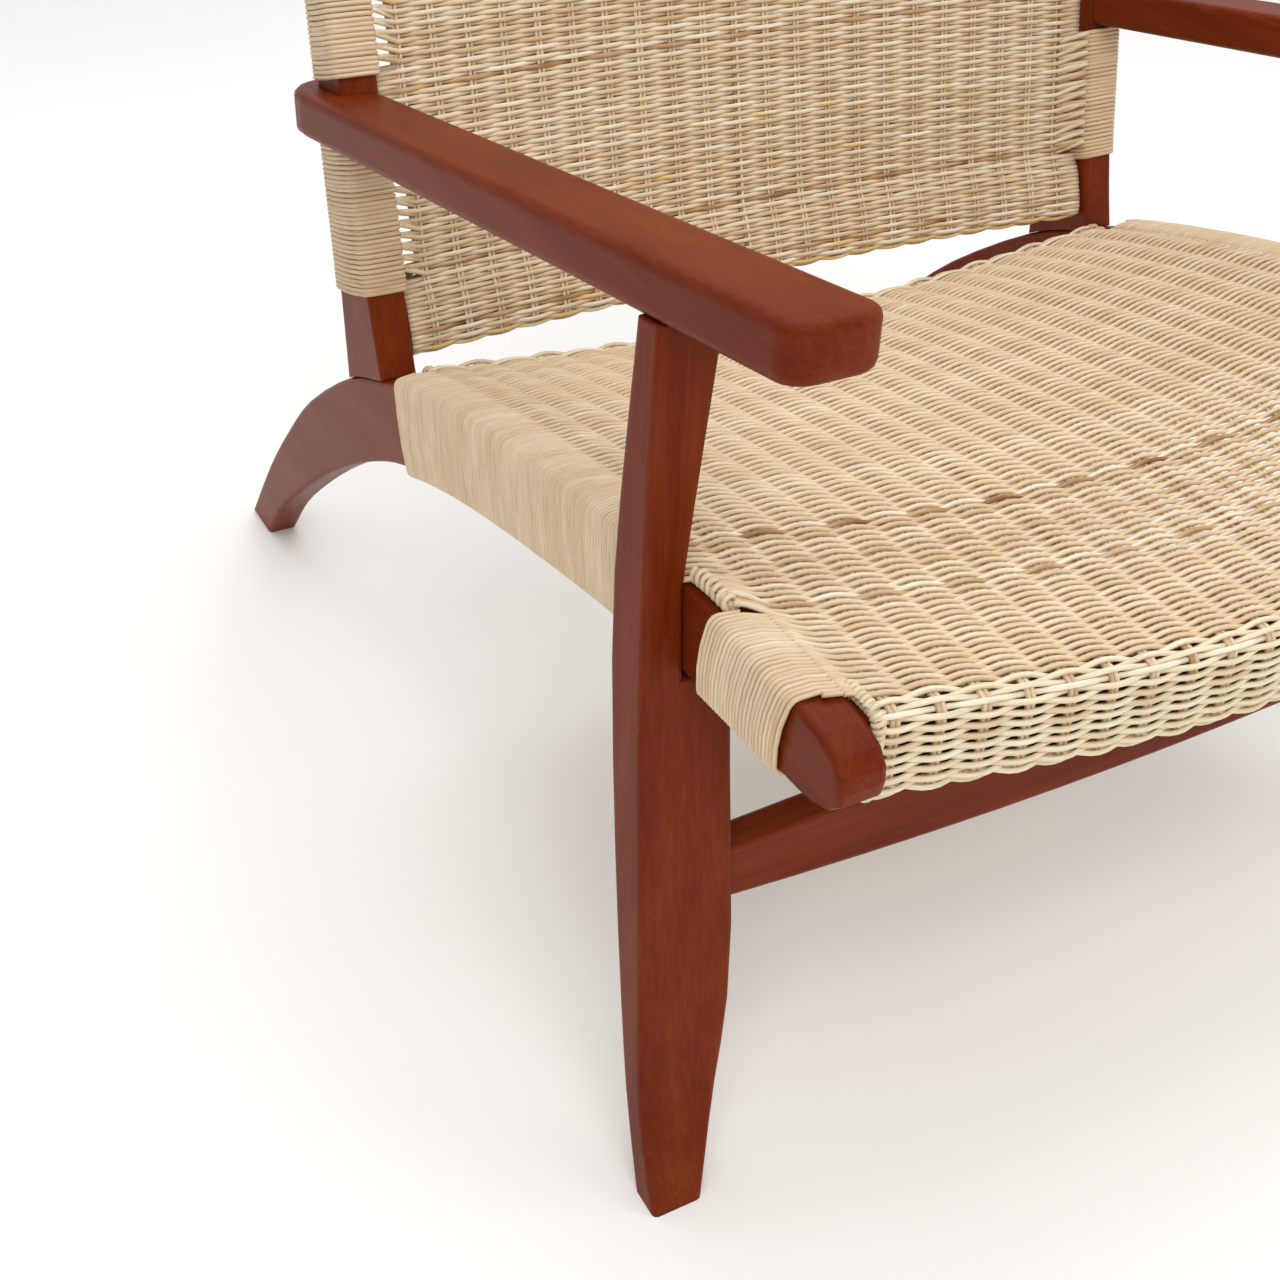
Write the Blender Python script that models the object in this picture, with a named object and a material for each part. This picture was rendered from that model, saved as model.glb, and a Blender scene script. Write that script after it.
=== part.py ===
"""Low lounge armchair: curved wooden side frames with a woven rattan seat and back.

Frame: +Z up, the floor at z = 0, the chair's front faces -Y and X runs across it.
Y = 0 is half way between the nose of the side rails and the heels of the rear feet.
All lengths are metres.
"""
import math

import bmesh
import bpy
import numpy as np

# ---- general ------------------------------------------------------------------
GAP = 0.0003                # clearance left between two pieces that touch
WRAP = 0.0030               # thickness of one layer of rattan strand
WEAVE = 0.0060              # thickness of the woven sheet, strand over strand

# ---- side boards: seat rail and rear leg in one piece --------------------------
RAIL_OUT_X = 0.3080         # outer face of the side board
BOARD_T = 0.0250            # its thickness
RAIL_IN_X = RAIL_OUT_X - BOARD_T
# top and bottom edges of the board seen from the side, (y, z), front to rear
RAIL_TOP = [(-0.4060, 0.3805), (-0.3286, 0.3805), (-0.2416, 0.3760), (-0.1036, 0.3530),
            (-0.0136, 0.3320), (0.0474, 0.3140), (0.0854, 0.3000), (0.1524, 0.2710),
            (0.2454, 0.2080), (0.3100, 0.1490), (0.3734, 0.0830), (0.4430, 0.0)]
RAIL_BOTTOM = [(-0.4190, 0.3380), (-0.3286, 0.3340), (-0.2416, 0.3260), (-0.1036, 0.2985),
               (-0.0136, 0.2755), (0.0554, 0.2520), (0.1054, 0.2290), (0.1654, 0.1940),
               (0.2274, 0.1520), (0.2924, 0.1020), (0.3524, 0.0510), (0.3990, 0.0)]
NOSE = [(-0.4340, 0.3430), (-0.4415, 0.3500), (-0.4430, 0.3580), (-0.4420, 0.3660),
        (-0.4360, 0.3735), (-0.4230, 0.3785)]
BOARD_ROUND = 0.0030        # rounding of the board's long edges

# ---- front legs ------------------------------------------------------------------
LEG_OUT_FLOOR = 0.3440      # outer face at the floor ...
LEG_OUT_ARM = 0.3250        # ... and where it meets the arm
LEG_IN_ARM = 0.2915         # inner face under the arm
LEG_IN_LOW = 0.2808         # inner face below the rail
LEG_TAPER_Z = 0.1700        # below this height the inner face curves outwards
LEG_TAPER = 0.0322          # how far it has moved at the floor
LEG_FRONT = [(0.0, -0.3715), (0.040, -0.3545), (0.084, -0.3436), (0.208, -0.3276),
             (0.300, -0.3156), (0.393, -0.3076), (0.530, -0.3030)]
LEG_REAR = [(0.0, -0.3480), (0.040, -0.3345), (0.084, -0.3225), (0.190, -0.3010),
            (0.300, -0.2835), (0.385, -0.2765), (0.530, -0.2840)]
LEG_ROUND = 0.0030

# ---- arms ------------------------------------------------------------------------
ARM_T = 0.0270              # thickness of the plank
ARM_TILT = math.radians(9.14)
ARM_REF_Y = -0.3948         # the arm's top face passes through this point
ARM_REF_Z = 0.5597
ARM_FRONT_Y = -0.4030       # tip
ARM_REAR_Y = 0.1940         # rear end, behind the post
ARM_OUT_FRONT = 0.3243
ARM_OUT_REAR = 0.3270
ARM_IN_FRONT = 0.2780
ARM_IN_REAR = 0.2840
ARM_FRONT_CORNER = 0.0140   # plan radius of the front corners
ARM_REAR_CORNER = (0.0280, 0.0450)  # half axes, in x and y, of the rounded rear outer corner
ARM_ROUND = 0.0050          # rounding of the long edges

# ---- back posts ------------------------------------------------------------------
POST_TOP_Z = 0.7380
POST_FRONT = [(0.290, 0.0824), (0.320, 0.0918), (0.353, 0.1014), (0.475, 0.1262), (0.738, 0.1795)]
POST_REAR = [(0.262, 0.1522), (0.339, 0.1564), (0.427, 0.1659), (0.519, 0.1744), (0.738, 0.2074)]
POST_ROUND = 0.0025
POST_SIDE_POINTS = 6        # points along each side, so the foot follows the curved board

# ---- rails across the chair --------------------------------------------------------
STRETCHER_FRONT_Y = -0.3226
STRETCHER_T = 0.0200
STRETCHER_Z = (0.1800, 0.2170)      # underside and top at the legs
STRETCHER_BELLY = (0.0130, 0.0060)  # extra depth half way across, below and above
FRONT_RAIL_Y = (-0.4225, -0.4045)
FRONT_RAIL_H = 0.0410
FRONT_DIP = 0.0350                  # how far the seat's front sags at the middle
REAR_RAIL_Y = (0.0600, 0.0760)
REAR_RAIL_H = 0.0300
REAR_DIP = 0.0180
BACK_RAIL_T = 0.0140
BACK_RAIL_H = 0.0300
BACK_BOTTOM_Z = 0.3115
BACK_TOP_Z = 0.7310
BACK_BOW = 0.0140                   # the back is hollow across by this much
BACK_SET = 0.0180                   # weave centre behind the post's front edge

# ---- dowels hidden in the joints ------------------------------------------------------
DOWEL_R = 0.0040
DOWEL_SIDES = 8
CUT_GAP = 0.0003

# ---- woven wraps: extent along the rail (y) and up the post (z) ---------------------
RAIL_WRAP_REAR = (-0.2700, 0.0500)
RAIL_WRAP_FRONT = (-0.3990, -0.3260)
POST_WRAP_LOWER = (0.3520, 0.4480)  # heights at the post's front edge
POST_WRAP_UPPER = (0.4840, 0.6930)
POST_WRAP_TILT = 0.22       # the strands drop this much per unit run to the rear

WOOD = (0.19, 0.065, 0.030, 1.0)
RATTAN = (0.62, 0.47, 0.29, 1.0)


# ---- helpers ------------------------------------------------------------------------
def clear_scene():
    """Remove whatever the file opened with."""
    for obj in list(bpy.data.objects):
        bpy.data.objects.remove(obj, do_unlink=True)


def smooth(points, steps=4):
    """Catmull-Rom curve through the points, as an array."""
    p = np.array(points, float)
    ends = np.vstack([2 * p[0] - p[1], p, 2 * p[-1] - p[-2]])
    out = []
    for i in range(1, len(ends) - 2):
        a, b, c, d = ends[i - 1:i + 3]
        t = np.linspace(0, 1, steps, endpoint=False)[:, None]
        out.append(0.5 * (2 * b + (c - a) * t + (2 * a - 5 * b + 4 * c - d) * t ** 2
                          + (3 * b - a - 3 * c + d) * t ** 3))
    out.append(p[-1:])
    return np.vstack(out)


def along(curve, value):
    """Second coordinate of a smooth curve where the first has this value."""
    line = smooth(curve, 8)
    return float(np.interp(value, line[:, 0], line[:, 1]))


def make_object(name, verts, faces, color):
    """Mesh object with its own material; faces are turned to point outwards."""
    bm = bmesh.new()
    vs = [bm.verts.new(tuple(map(float, v))) for v in verts]
    for f in faces:
        bm.faces.new([vs[i] for i in f])
    bmesh.ops.recalc_face_normals(bm, faces=bm.faces)
    mesh = bpy.data.meshes.new(name)
    bm.to_mesh(mesh)
    bm.free()
    obj = bpy.data.objects.new(name, mesh)
    bpy.context.scene.collection.objects.link(obj)
    mat = bpy.data.materials.new(name)
    mat.use_nodes = True
    shader = mat.node_tree.nodes["Principled BSDF"]
    shader.inputs["Base Color"].default_value = color
    shader.inputs["Roughness"].default_value = 0.35 if color == WOOD else 0.7
    mesh.materials.append(mat)
    return obj


def band(n, a, b):
    """Quads joining two rings of n vertices that start at index a and b."""
    return [(a + i, a + (i + 1) % n, b + (i + 1) % n, b + i) for i in range(n)]


def strip_cap(n, start):
    """Cap of a ring made by rounded(): strips running across it, so it can be curved."""
    return [(start + i, start + i + 1, start + n - 2 - i, start + n - 1 - i) for i in range(n // 2 - 1)]


def loft(name, rings, color, strips=True):
    """Closed solid through equal rings, capped at both ends."""
    n = len(rings[0])
    verts = [v for r in rings for v in r]
    faces = []
    for k in range(len(rings) - 1):
        faces += band(n, k * n, (k + 1) * n)
    last = (len(rings) - 1) * n
    if strips:
        faces += strip_cap(n, 0) + strip_cap(n, last)
    else:
        faces.append(tuple(range(n)))
        faces.append(tuple(range(last, last + n)))
    return make_object(name, verts, faces, color)


def sleeve(name, outer, inner, color):
    """Open-ended tube between two equal lists of rings."""
    n = len(outer[0])
    count = len(outer)
    verts = [v for r in outer for v in r] + [v for r in inner for v in r]
    faces = []
    for k in range(count - 1):
        faces += band(n, k * n, (k + 1) * n)
        faces += band(n, (count + k + 1) * n, (count + k) * n)
    faces += band(n, count * n, 0)
    faces += band(n, (count - 1) * n, (2 * count - 1) * n)
    return make_object(name, verts, faces, color)


def rounded(u0, u1, v0, v1, r, k=3, sides=0):
    """Rounded rectangle as (u, v) points, counter-clockwise; sides adds points on the two v edges."""
    pts = []
    corners = [(u1 - r, v0 + r, -90), (u1 - r, v1 - r, 0), (u0 + r, v1 - r, 90), (u0 + r, v0 + r, 180)]
    for i, (cu, cv, start) in enumerate(corners):
        for j in range(k):
            a = math.radians(start + 90 * j / (k - 1))
            pts.append((cu + r * math.cos(a), cv + r * math.sin(a)))
        if i % 2 == 0:
            u, va = pts[-1]
            vb = corners[(i + 1) % 4][1]
            for j in range(1, sides + 1):
                pts.append((u, va + (vb - va) * j / (sides + 1)))
    return pts


def inset(outline, d):
    """Closed outline moved inwards by d along its vertex normals (outline runs anticlockwise)."""
    p = np.array(outline, float)
    prev = p - np.roll(p, 1, axis=0)
    nxt = np.roll(p, -1, axis=0) - p
    prev /= np.linalg.norm(prev, axis=1)[:, None]
    nxt /= np.linalg.norm(nxt, axis=1)[:, None]
    n1 = np.stack([-prev[:, 1], prev[:, 0]], 1)
    n2 = np.stack([-nxt[:, 1], nxt[:, 0]], 1)
    m = n1 + n2
    m /= np.maximum((m * n1).sum(1), 0.3)[:, None]
    return p + m * d


def board(name, outline, x0, x1, r, color):
    """Board cut to an outline in the Y-Z plane, between two X values, edges rounded."""
    rings = []
    steps = [(0.0, 1.0), (0.3, 0.3), (1.0, 0.0)]
    for along_x, back in steps:
        rings.append((x0 + r * along_x, r * back))
    for along_x, back in steps[::-1]:
        rings.append((x1 - r * along_x, r * back))
    loops = []
    for x, d in rings:
        loops.append([(x, y, z) for y, z in inset(outline, d)])
    return loft(name, loops, color, strips=False)


def mirrored(rings):
    """The same rings on the other side of the chair."""
    return [[(-x, y, z) for x, y, z in ring] for ring in rings]


def both_sides(name, rings, color, inner=None, strips=True):
    """Left (-X) and right (+X) copies of a lofted piece given for the left side."""
    if inner is None:
        return [loft(name + "_left", rings, color, strips),
                loft(name + "_right", mirrored(rings), color, strips)]
    return [sleeve(name + "_left", rings, inner, color),
            sleeve(name + "_right", mirrored(rings), mirrored(inner), color)]


# ---- side boards ---------------------------------------------------------------------
def side_outline():
    """Outline of the side board, anticlockwise seen with +Y to the right and +Z up."""
    bottom = smooth(RAIL_BOTTOM, 3)
    top = smooth(RAIL_TOP, 3)[::-1]
    nose = np.array(NOSE)[::-1]
    return np.vstack([bottom, top, nose])


def side_rails():
    """Two mirrored boards that are seat rail at the front and rear leg behind."""
    outline = side_outline()
    for side, name in ((-1, "side_rail_left"), (1, "side_rail_right")):
        xs = sorted((side * RAIL_IN_X, side * RAIL_OUT_X))
        board(name, outline, xs[0], xs[1], BOARD_ROUND, WOOD)


# ---- front legs ------------------------------------------------------------------------
def arm_top(y):
    """Height of the arm's top face."""
    return ARM_REF_Z - (y - ARM_REF_Y) * math.tan(ARM_TILT)


def arm_under(y):
    """Height of the arm's underside."""
    return arm_top(y) - ARM_T / math.cos(ARM_TILT)


def leg_outer(z):
    """Distance of the leg's outer face from the chair's middle."""
    return LEG_OUT_FLOOR + (LEG_OUT_ARM - LEG_OUT_FLOOR) * z / 0.514


def leg_inner(z, step_z, rail_top_z):
    """Distance of the leg's inner face: under the rail, lapped on it, then out to the arm."""
    if z < step_z:
        if z < LEG_TAPER_Z:
            return LEG_IN_LOW + LEG_TAPER * ((LEG_TAPER_Z - z) / LEG_TAPER_Z) ** 2
        return LEG_IN_LOW
    lap = RAIL_OUT_X + GAP
    if z <= rail_top_z:
        return lap
    return lap + (LEG_IN_ARM - lap) * (z - rail_top_z) / (0.514 - rail_top_z)


def front_legs():
    """Tapered legs, lapped under and beside the rail, cut to the arm's underside."""
    mid_y = -0.295
    step_z = min(along(RAIL_BOTTOM, y) for y in (-0.3156, -0.2765)) - GAP
    rail_top_z = along(RAIL_TOP, mid_y)
    heights = [0.0, 0.02, 0.04, 0.065, 0.09, 0.12, 0.17, 0.22, 0.27, step_z - 0.0002,
               step_z + 0.0001, rail_top_z, 0.42, 0.46, 0.5]
    rings = []
    for z in heights:
        y0, y1 = along(LEG_FRONT, z), along(LEG_REAR, z)
        x0, x1 = -leg_outer(z), -leg_inner(z, step_z, rail_top_z)
        rings.append([(x, y, z) for x, y in rounded(x0, x1, y0, y1, LEG_ROUND)])
    zt = 0.514
    ring = rounded(-leg_outer(zt), -leg_inner(zt, step_z, rail_top_z),
                   along(LEG_FRONT, zt), along(LEG_REAR, zt), LEG_ROUND)
    rings.append([(x, y, arm_under(y) - GAP) for x, y in ring])
    both_sides("front_leg", rings, WOOD)


# ---- back posts ----------------------------------------------------------------------------
def post_ring(z, grow=0.0, k=3, r=POST_ROUND):
    """Section of the left post at a height, grown outwards by a clearance."""
    y0, y1 = along(POST_FRONT, z) - grow, along(POST_REAR, z) + grow
    x0, x1 = -RAIL_OUT_X - grow, -RAIL_IN_X + grow
    return [(x, y, z) for x, y in rounded(x0, x1, y0, y1, r + grow, k, POST_SIDE_POINTS)]


def back_posts():
    """Posts standing on the side boards and leaning back."""
    rings = []
    base = rounded(-RAIL_OUT_X, -RAIL_IN_X, along(POST_FRONT, 0.302), along(POST_REAR, 0.272), POST_ROUND,
                   3, POST_SIDE_POINTS)
    rings.append([(x, y, along(RAIL_TOP, y) + GAP) for x, y in base])
    for z in np.linspace(0.330, POST_TOP_Z - 0.006, 19):
        rings.append(post_ring(z))
    top = post_ring(POST_TOP_Z - 0.006)
    mid = np.mean(np.array(top), axis=0)
    crown = []
    for x, y, z in top:
        crown.append((mid[0] + (x - mid[0]) * 0.70, mid[1] + (y - mid[1]) * 0.75, POST_TOP_Z))
    rings.append(crown)
    both_sides("back_post", rings, WOOD)


# ---- arms ------------------------------------------------------------------------------------
def arm_plan():
    """Plan outline of the left arm in (x, y), anticlockwise, with rounded corners."""
    def corner(cx, cy, rx, ry, start, n=6):
        turn = [math.radians(start + 90 * j / (n - 1)) for j in range(n)]
        return [(cx + rx * math.cos(a), cy + ry * math.sin(a)) for a in turn]
    fr, ri = ARM_FRONT_CORNER, 0.006
    ax, ay = ARM_REAR_CORNER
    pts = corner(-ARM_OUT_FRONT + fr, ARM_FRONT_Y + fr, fr, fr, 180)
    pts += corner(-ARM_IN_FRONT - fr, ARM_FRONT_Y + fr, fr, fr, 270)
    pts += corner(-ARM_IN_REAR - ri, ARM_REAR_Y - ri, ri, ri, 0)
    pts += corner(-ARM_OUT_REAR + ax, ARM_REAR_Y - ay, ax, ay, 90)
    return pts


def arms():
    """Planks resting on the front legs and notched round the posts."""
    plan = np.array(arm_plan())
    r = ARM_ROUND
    levels = [(0.0, 1.0), (0.13, 0.5), (0.5, 0.13), (1.0, 0.0)]
    tan = math.tan(ARM_TILT)
    rings = []
    for up, back in levels:
        rings.append([(x, y, arm_under(y) + r * up) for x, y in inset(plan, r * back)])
    for up, back in levels[::-1]:
        rings.append([(x, y, arm_top(y) - r * up) for x, y in inset(plan, r * back)])
    pair = both_sides("arm", rings, WOOD, strips=False)
    zs = [0.42, 0.45, 0.475, 0.50, 0.53]
    cut_rings = []
    for z in zs:
        ring = post_ring(z, GAP)
        cut_rings.append([(x + (0.02 if x > -0.2955 else 0.0), y, z) for x, y, z in ring])
    cutters = [loft("cut_left", cut_rings, WOOD), loft("cut_right", mirrored(cut_rings), WOOD)]
    for arm, cutter in zip(pair, cutters):
        mod = arm.modifiers.new("post_notch", "BOOLEAN")
        mod.operation = "DIFFERENCE"
        mod.solver = "EXACT"
        mod.object = cutter
        cutter.hide_render = True
        cutter.display_type = "WIRE"


# ---- rails across the chair --------------------------------------------------------------------
def bow(x, half):
    """1 at the middle of a span, 0 at its ends."""
    return 1.0 - (x / half) ** 2


def cross_rail(name, half, section, color, n=13):
    """Rail swept along X; section(x) gives y0, y1, z0, z1."""
    rings = []
    for x in np.linspace(-half, half, n):
        y0, y1, z0, z1 = section(x)
        rings.append([(x, y, z) for y, z in rounded(y0, y1, z0, z1, 0.003)])
    return loft(name, rings, color)


def leg_inner_at(z):
    """Inner face of the front legs at a height below the rail."""
    return leg_inner(z, 1.0, 1.0)


def stretcher():
    """Rail between the front legs, deeper at the middle."""
    half = leg_inner_at(sum(STRETCHER_Z) / 2) - GAP

    def section(x):
        b = bow(x, half)
        return (STRETCHER_FRONT_Y, STRETCHER_FRONT_Y + STRETCHER_T,
                STRETCHER_Z[0] - STRETCHER_BELLY[0] * b, STRETCHER_Z[1] + STRETCHER_BELLY[1] * b)
    cross_rail("front_stretcher", half, section, WOOD)


def seat_z(x, y):
    """Top surface of the woven seat: level with the wrapped rails, sagging to the middle."""
    t = (y - FRONT_RAIL_Y[0]) / (REAR_RAIL_Y[1] - FRONT_RAIL_Y[0])
    dip = FRONT_DIP + (REAR_DIP - FRONT_DIP) * t
    edge = along(RAIL_TOP, max(y, -0.4060)) + WRAP
    return edge - dip * max(0.0, bow(x, RAIL_IN_X))


def seat_rail_section(y_pair, height, drop=0.0):
    """Section function of a seat rail hung under the seat surface."""
    mid = sum(y_pair) / 2

    def section(x):
        top = seat_z(x, mid) - WEAVE - GAP - drop
        return y_pair[0], y_pair[1], top - height, top
    return section


def seat_rails():
    """Front and rear seat rails, housed between the side boards."""
    half = RAIL_IN_X - GAP
    cross_rail("seat_front_rail", half, seat_rail_section(FRONT_RAIL_Y, FRONT_RAIL_H), WOOD)
    cross_rail("seat_rear_rail", half, seat_rail_section(REAR_RAIL_Y, REAR_RAIL_H), WOOD)


def back_y(x, z):
    """Middle of the woven back: behind the posts' front edge, hollow across."""
    return along(POST_FRONT, z) + BACK_SET + BACK_BOW * bow(x, RAIL_IN_X)


def back_rail(name, z0, z1):
    """Rail between the posts that the woven back is folded round, leaning with them."""
    rings = []
    for x in np.linspace(-RAIL_IN_X + GAP, RAIL_IN_X - GAP, 13):
        ring = []
        for v, z in rounded(-BACK_RAIL_T / 2, BACK_RAIL_T / 2, z0, z1, 0.003):
            ring.append((x, back_y(x, z) + v, z))
        rings.append(ring)
    return loft(name, rings, WOOD)


def back_rails():
    """Lower and upper rails of the back."""
    back_rail("back_bottom_rail", BACK_BOTTOM_Z, BACK_BOTTOM_Z + BACK_RAIL_H)
    back_rail("back_top_rail", BACK_TOP_Z - BACK_RAIL_H, BACK_TOP_Z)


# ---- dowels --------------------------------------------------------------------------------------
def rods(name, segments, r, extra, color):
    """Closed straight rods in one object."""
    verts, faces = [], []
    for p0, p1 in segments:
        a, b = np.array(p0, float), np.array(p1, float)
        axis = (b - a) / np.linalg.norm(b - a)
        side = np.cross(axis, (0.0, 0.6, 0.8) if abs(axis[0]) > 0.5 else (1.0, 0.0, 0.0))
        side /= np.linalg.norm(side)
        other = np.cross(axis, side)
        a, b = a - axis * extra, b + axis * extra
        start = len(verts)
        for end in (a, b):
            for j in range(DOWEL_SIDES):
                t = 2 * math.pi * (j + 0.5) / DOWEL_SIDES
                verts.append(end + (side * math.cos(t) + other * math.sin(t)) * (r + extra))
        faces += band(DOWEL_SIDES, start, start + DOWEL_SIDES)
        faces.append(tuple(range(start, start + DOWEL_SIDES)))
        faces.append(tuple(range(start + DOWEL_SIDES, start + 2 * DOWEL_SIDES)))
    return make_object(name, verts, faces, color)


def dowel_joint(name, left_segments, pieces):
    """Dowels for the left joint and their mirrors, and the holes they sit in."""
    both = []
    for i, (p0, p1) in enumerate(left_segments):
        label = name if len(left_segments) == 1 else "%s_%d" % (name, i + 1)
        right = ((-p0[0], p0[1], p0[2]), (-p1[0], p1[1], p1[2]))
        rods(label + "_left", [(p0, p1)], DOWEL_R, 0.0, WOOD)
        rods(label + "_right", [right], DOWEL_R, 0.0, WOOD)
        both += [(p0, p1), right]
    cutter = rods("cut_" + name, both, DOWEL_R, CUT_GAP, WOOD)
    cutter.hide_render = True
    cutter.display_type = "WIRE"
    for piece in pieces:
        mod = bpy.data.objects[piece].modifiers.new(name, "BOOLEAN")
        mod.operation = "DIFFERENCE"
        mod.solver = "EXACT"
        mod.object = cutter


def across(x_mid, y, z, length):
    """Dowel along X centred on a joint face."""
    return (x_mid - length / 2, y, z), (x_mid + length / 2, y, z)


def joint_dowels():
    """Dowels in every wood joint."""
    sides = ("_left", "_right")
    rails = ["side_rail" + s for s in sides]
    legs = ["front_leg" + s for s in sides]
    posts = ["back_post" + s for s in sides]
    arm_pair = ["arm" + s for s in sides]
    y = STRETCHER_FRONT_Y + STRETCHER_T / 2
    x = -leg_inner_at(sum(STRETCHER_Z) / 2)
    dowel_joint("stretcher_dowel", [across(x, y, z, 0.030) for z in (0.1905, 0.2065)],
                legs + ["front_stretcher"])
    for label, pair, height, shares in (("front", FRONT_RAIL_Y, FRONT_RAIL_H, (0.30, 0.72)),
                                        ("rear", REAR_RAIL_Y, REAR_RAIL_H, (0.50,))):
        mid = sum(pair) / 2
        top = seat_z(-RAIL_IN_X, mid) - WEAVE - GAP
        dowel_joint("%s_rail_dowel" % label,
                    [across(-RAIL_IN_X, mid, top - height * share, 0.026) for share in shares],
                    rails + ["seat_%s_rail" % label])
    for label, low in (("bottom", BACK_BOTTOM_Z), ("top", BACK_TOP_Z - BACK_RAIL_H)):
        z = low + BACK_RAIL_H / 2
        dowel_joint("back_%s_dowel" % label, [across(-RAIL_IN_X, back_y(RAIL_IN_X, z), z, 0.024)],
                    posts + ["back_%s_rail" % label])
    x = -(RAIL_OUT_X + RAIL_IN_X) / 2
    segments = []
    for y in (0.105, 0.137):
        z = along(RAIL_TOP, y)
        segments.append(((x, y - 0.004, z - 0.020), (x, y + 0.004, z + 0.020)))
    dowel_joint("post_dowel", segments, posts + rails)
    segments = []
    for y, z in ((-0.3010, 0.3690), (-0.2880, 0.3480)):
        segments.append(across(-RAIL_OUT_X, y, z, 0.028))
    dowel_joint("leg_lap_dowel", segments, legs + rails)
    x, y = -(LEG_OUT_ARM + LEG_IN_ARM) / 2, -0.2930
    z = arm_under(y)
    dowel_joint("arm_leg_dowel", [((x, y, z - 0.018), (x, y, z + 0.016))], legs + arm_pair)
    y, z = 0.1480, (arm_top(0.148) + arm_under(0.148)) / 2
    dowel_joint("arm_post_dowel", [across(-RAIL_OUT_X, y, z, 0.026)], posts + arm_pair)


# ---- woven parts ---------------------------------------------------------------------------------
def rail_wrap(name, y0, y1, n):
    """Sleeve of strand wound round the side rail between two stations."""
    outer, inner = [], []
    for y in np.linspace(y0, y1, n):
        b, t = along(RAIL_BOTTOM, y), along(RAIL_TOP, y)
        slope = (along(RAIL_TOP, y + 0.01) - along(RAIL_TOP, y - 0.01)) / 0.02
        mid = (b + t) / 2
        for rings, g, r in ((outer, WRAP, 0.006), (inner, GAP, 0.0031)):
            pts = rounded(-RAIL_OUT_X - g, -RAIL_IN_X + g, b - g, t + g, r)
            rings.append([(x, y - slope * (z - mid) * 0.8, z) for x, z in pts])
    both_sides(name, outer, RATTAN, inner)


def tilted_ring(z, grow):
    """Ring round the left post that starts at a height in front and drops to the rear."""
    depth = along(POST_REAR, z) - along(POST_FRONT, z)
    z_rear = z - POST_WRAP_TILT * depth
    y0, y1 = along(POST_FRONT, z) - grow, along(POST_REAR, z_rear) + grow
    ring = rounded(-RAIL_OUT_X - grow, -RAIL_IN_X + grow, y0, y1, POST_ROUND + grow, 3, POST_SIDE_POINTS)
    return [(x, y, z - POST_WRAP_TILT * (y - y0)) for x, y in ring]


def post_wrap(name, z0, z1, n):
    """Sleeve of strand wound round the back post."""
    stations = np.linspace(z0, z1, n)
    outer = [tilted_ring(z, WRAP) for z in stations]
    inner = [tilted_ring(z, GAP) for z in stations]
    both_sides(name, outer, RATTAN, inner)


def sheet(name, half, stations, profile):
    """Woven sheet swept along X; profile(x) gives its closed section in (y, z)."""
    rings = []
    for x in np.linspace(-half, half, stations):
        rings.append([(x, y, z) for y, z in profile(x)])
    return loft(name, rings, RATTAN)


def seat_weave():
    """Woven seat sheet between the two seat rails."""
    half = RAIL_IN_X - WRAP - GAP
    y0, y1 = FRONT_RAIL_Y[1] + WRAP + GAP, REAR_RAIL_Y[0] - WRAP - GAP

    def profile(x):
        ys = np.linspace(y0, y1, 13)
        low = [(y, seat_z(x, y) - WEAVE) for y in ys]
        high = [(y, seat_z(x, y)) for y in ys[::-1]]
        return low + high
    sheet("seat_weave", half, 15, profile)


def hood(name, half, section, stations=13, lean=None, open_side=None):
    """Woven sleeve round a cross rail, one strand thick."""
    outer, inner = [], []
    for x in np.linspace(-half, half, stations):
        y0, y1, z0, z1 = section(x)
        for rings, g, r in ((outer, WEAVE - WRAP, 0.006), (inner, GAP, 0.0031)):
            ring = rounded(y0 - g, y1 + g, z0 - g, z1 + g, r)
            rings.append([(x, y + (lean(x, z) if lean else 0.0), z) for y, z in ring])
    return sleeve(name, outer, inner, RATTAN)


def seat_hoods():
    """Folds of the seat weave round the front and rear seat rails."""
    half = RAIL_IN_X - 0.0015
    hood("seat_front_fold", half, seat_rail_section(FRONT_RAIL_Y, FRONT_RAIL_H))
    hood("seat_rear_fold", half, seat_rail_section(REAR_RAIL_Y, REAR_RAIL_H))


def back_weave():
    """Woven back sheet and its folds round the back's two rails."""
    half = RAIL_IN_X - WRAP - GAP
    z0, z1 = BACK_BOTTOM_Z + BACK_RAIL_H + WRAP + GAP, BACK_TOP_Z - BACK_RAIL_H - WRAP - GAP

    def profile(x):
        zs = np.linspace(z0, z1, 9)
        front = [(back_y(x, z) - WEAVE / 2, z) for z in zs[::-1]]
        rear = [(back_y(x, z) + WEAVE / 2, z) for z in zs]
        return front + rear
    sheet("back_weave", half, 13, profile)
    t = BACK_RAIL_T / 2
    for name, low in (("back_bottom_fold", BACK_BOTTOM_Z), ("back_top_fold", BACK_TOP_Z - BACK_RAIL_H)):
        hood(name, half, lambda x, a=low: (-t, t, a, a + BACK_RAIL_H), lean=back_y)


def corner_ties():
    """Short twisted bundle that closes the weave, lying on the rail beside each front leg."""
    rings = []
    x_mid = -0.2990
    for s in np.linspace(0, 1, 7):
        y = -0.2960 - 0.0285 * s
        r = 0.0035 + 0.0015 * math.sin(math.pi * s)
        z = along(RAIL_TOP, y) + r + GAP
        ring = []
        for j in range(8):
            a = 2 * math.pi * j / 8
            ring.append((x_mid + r * math.cos(a), y, z + r * math.sin(a)))
        rings.append(ring)
    both_sides("corner_tie", rings, RATTAN)


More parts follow.
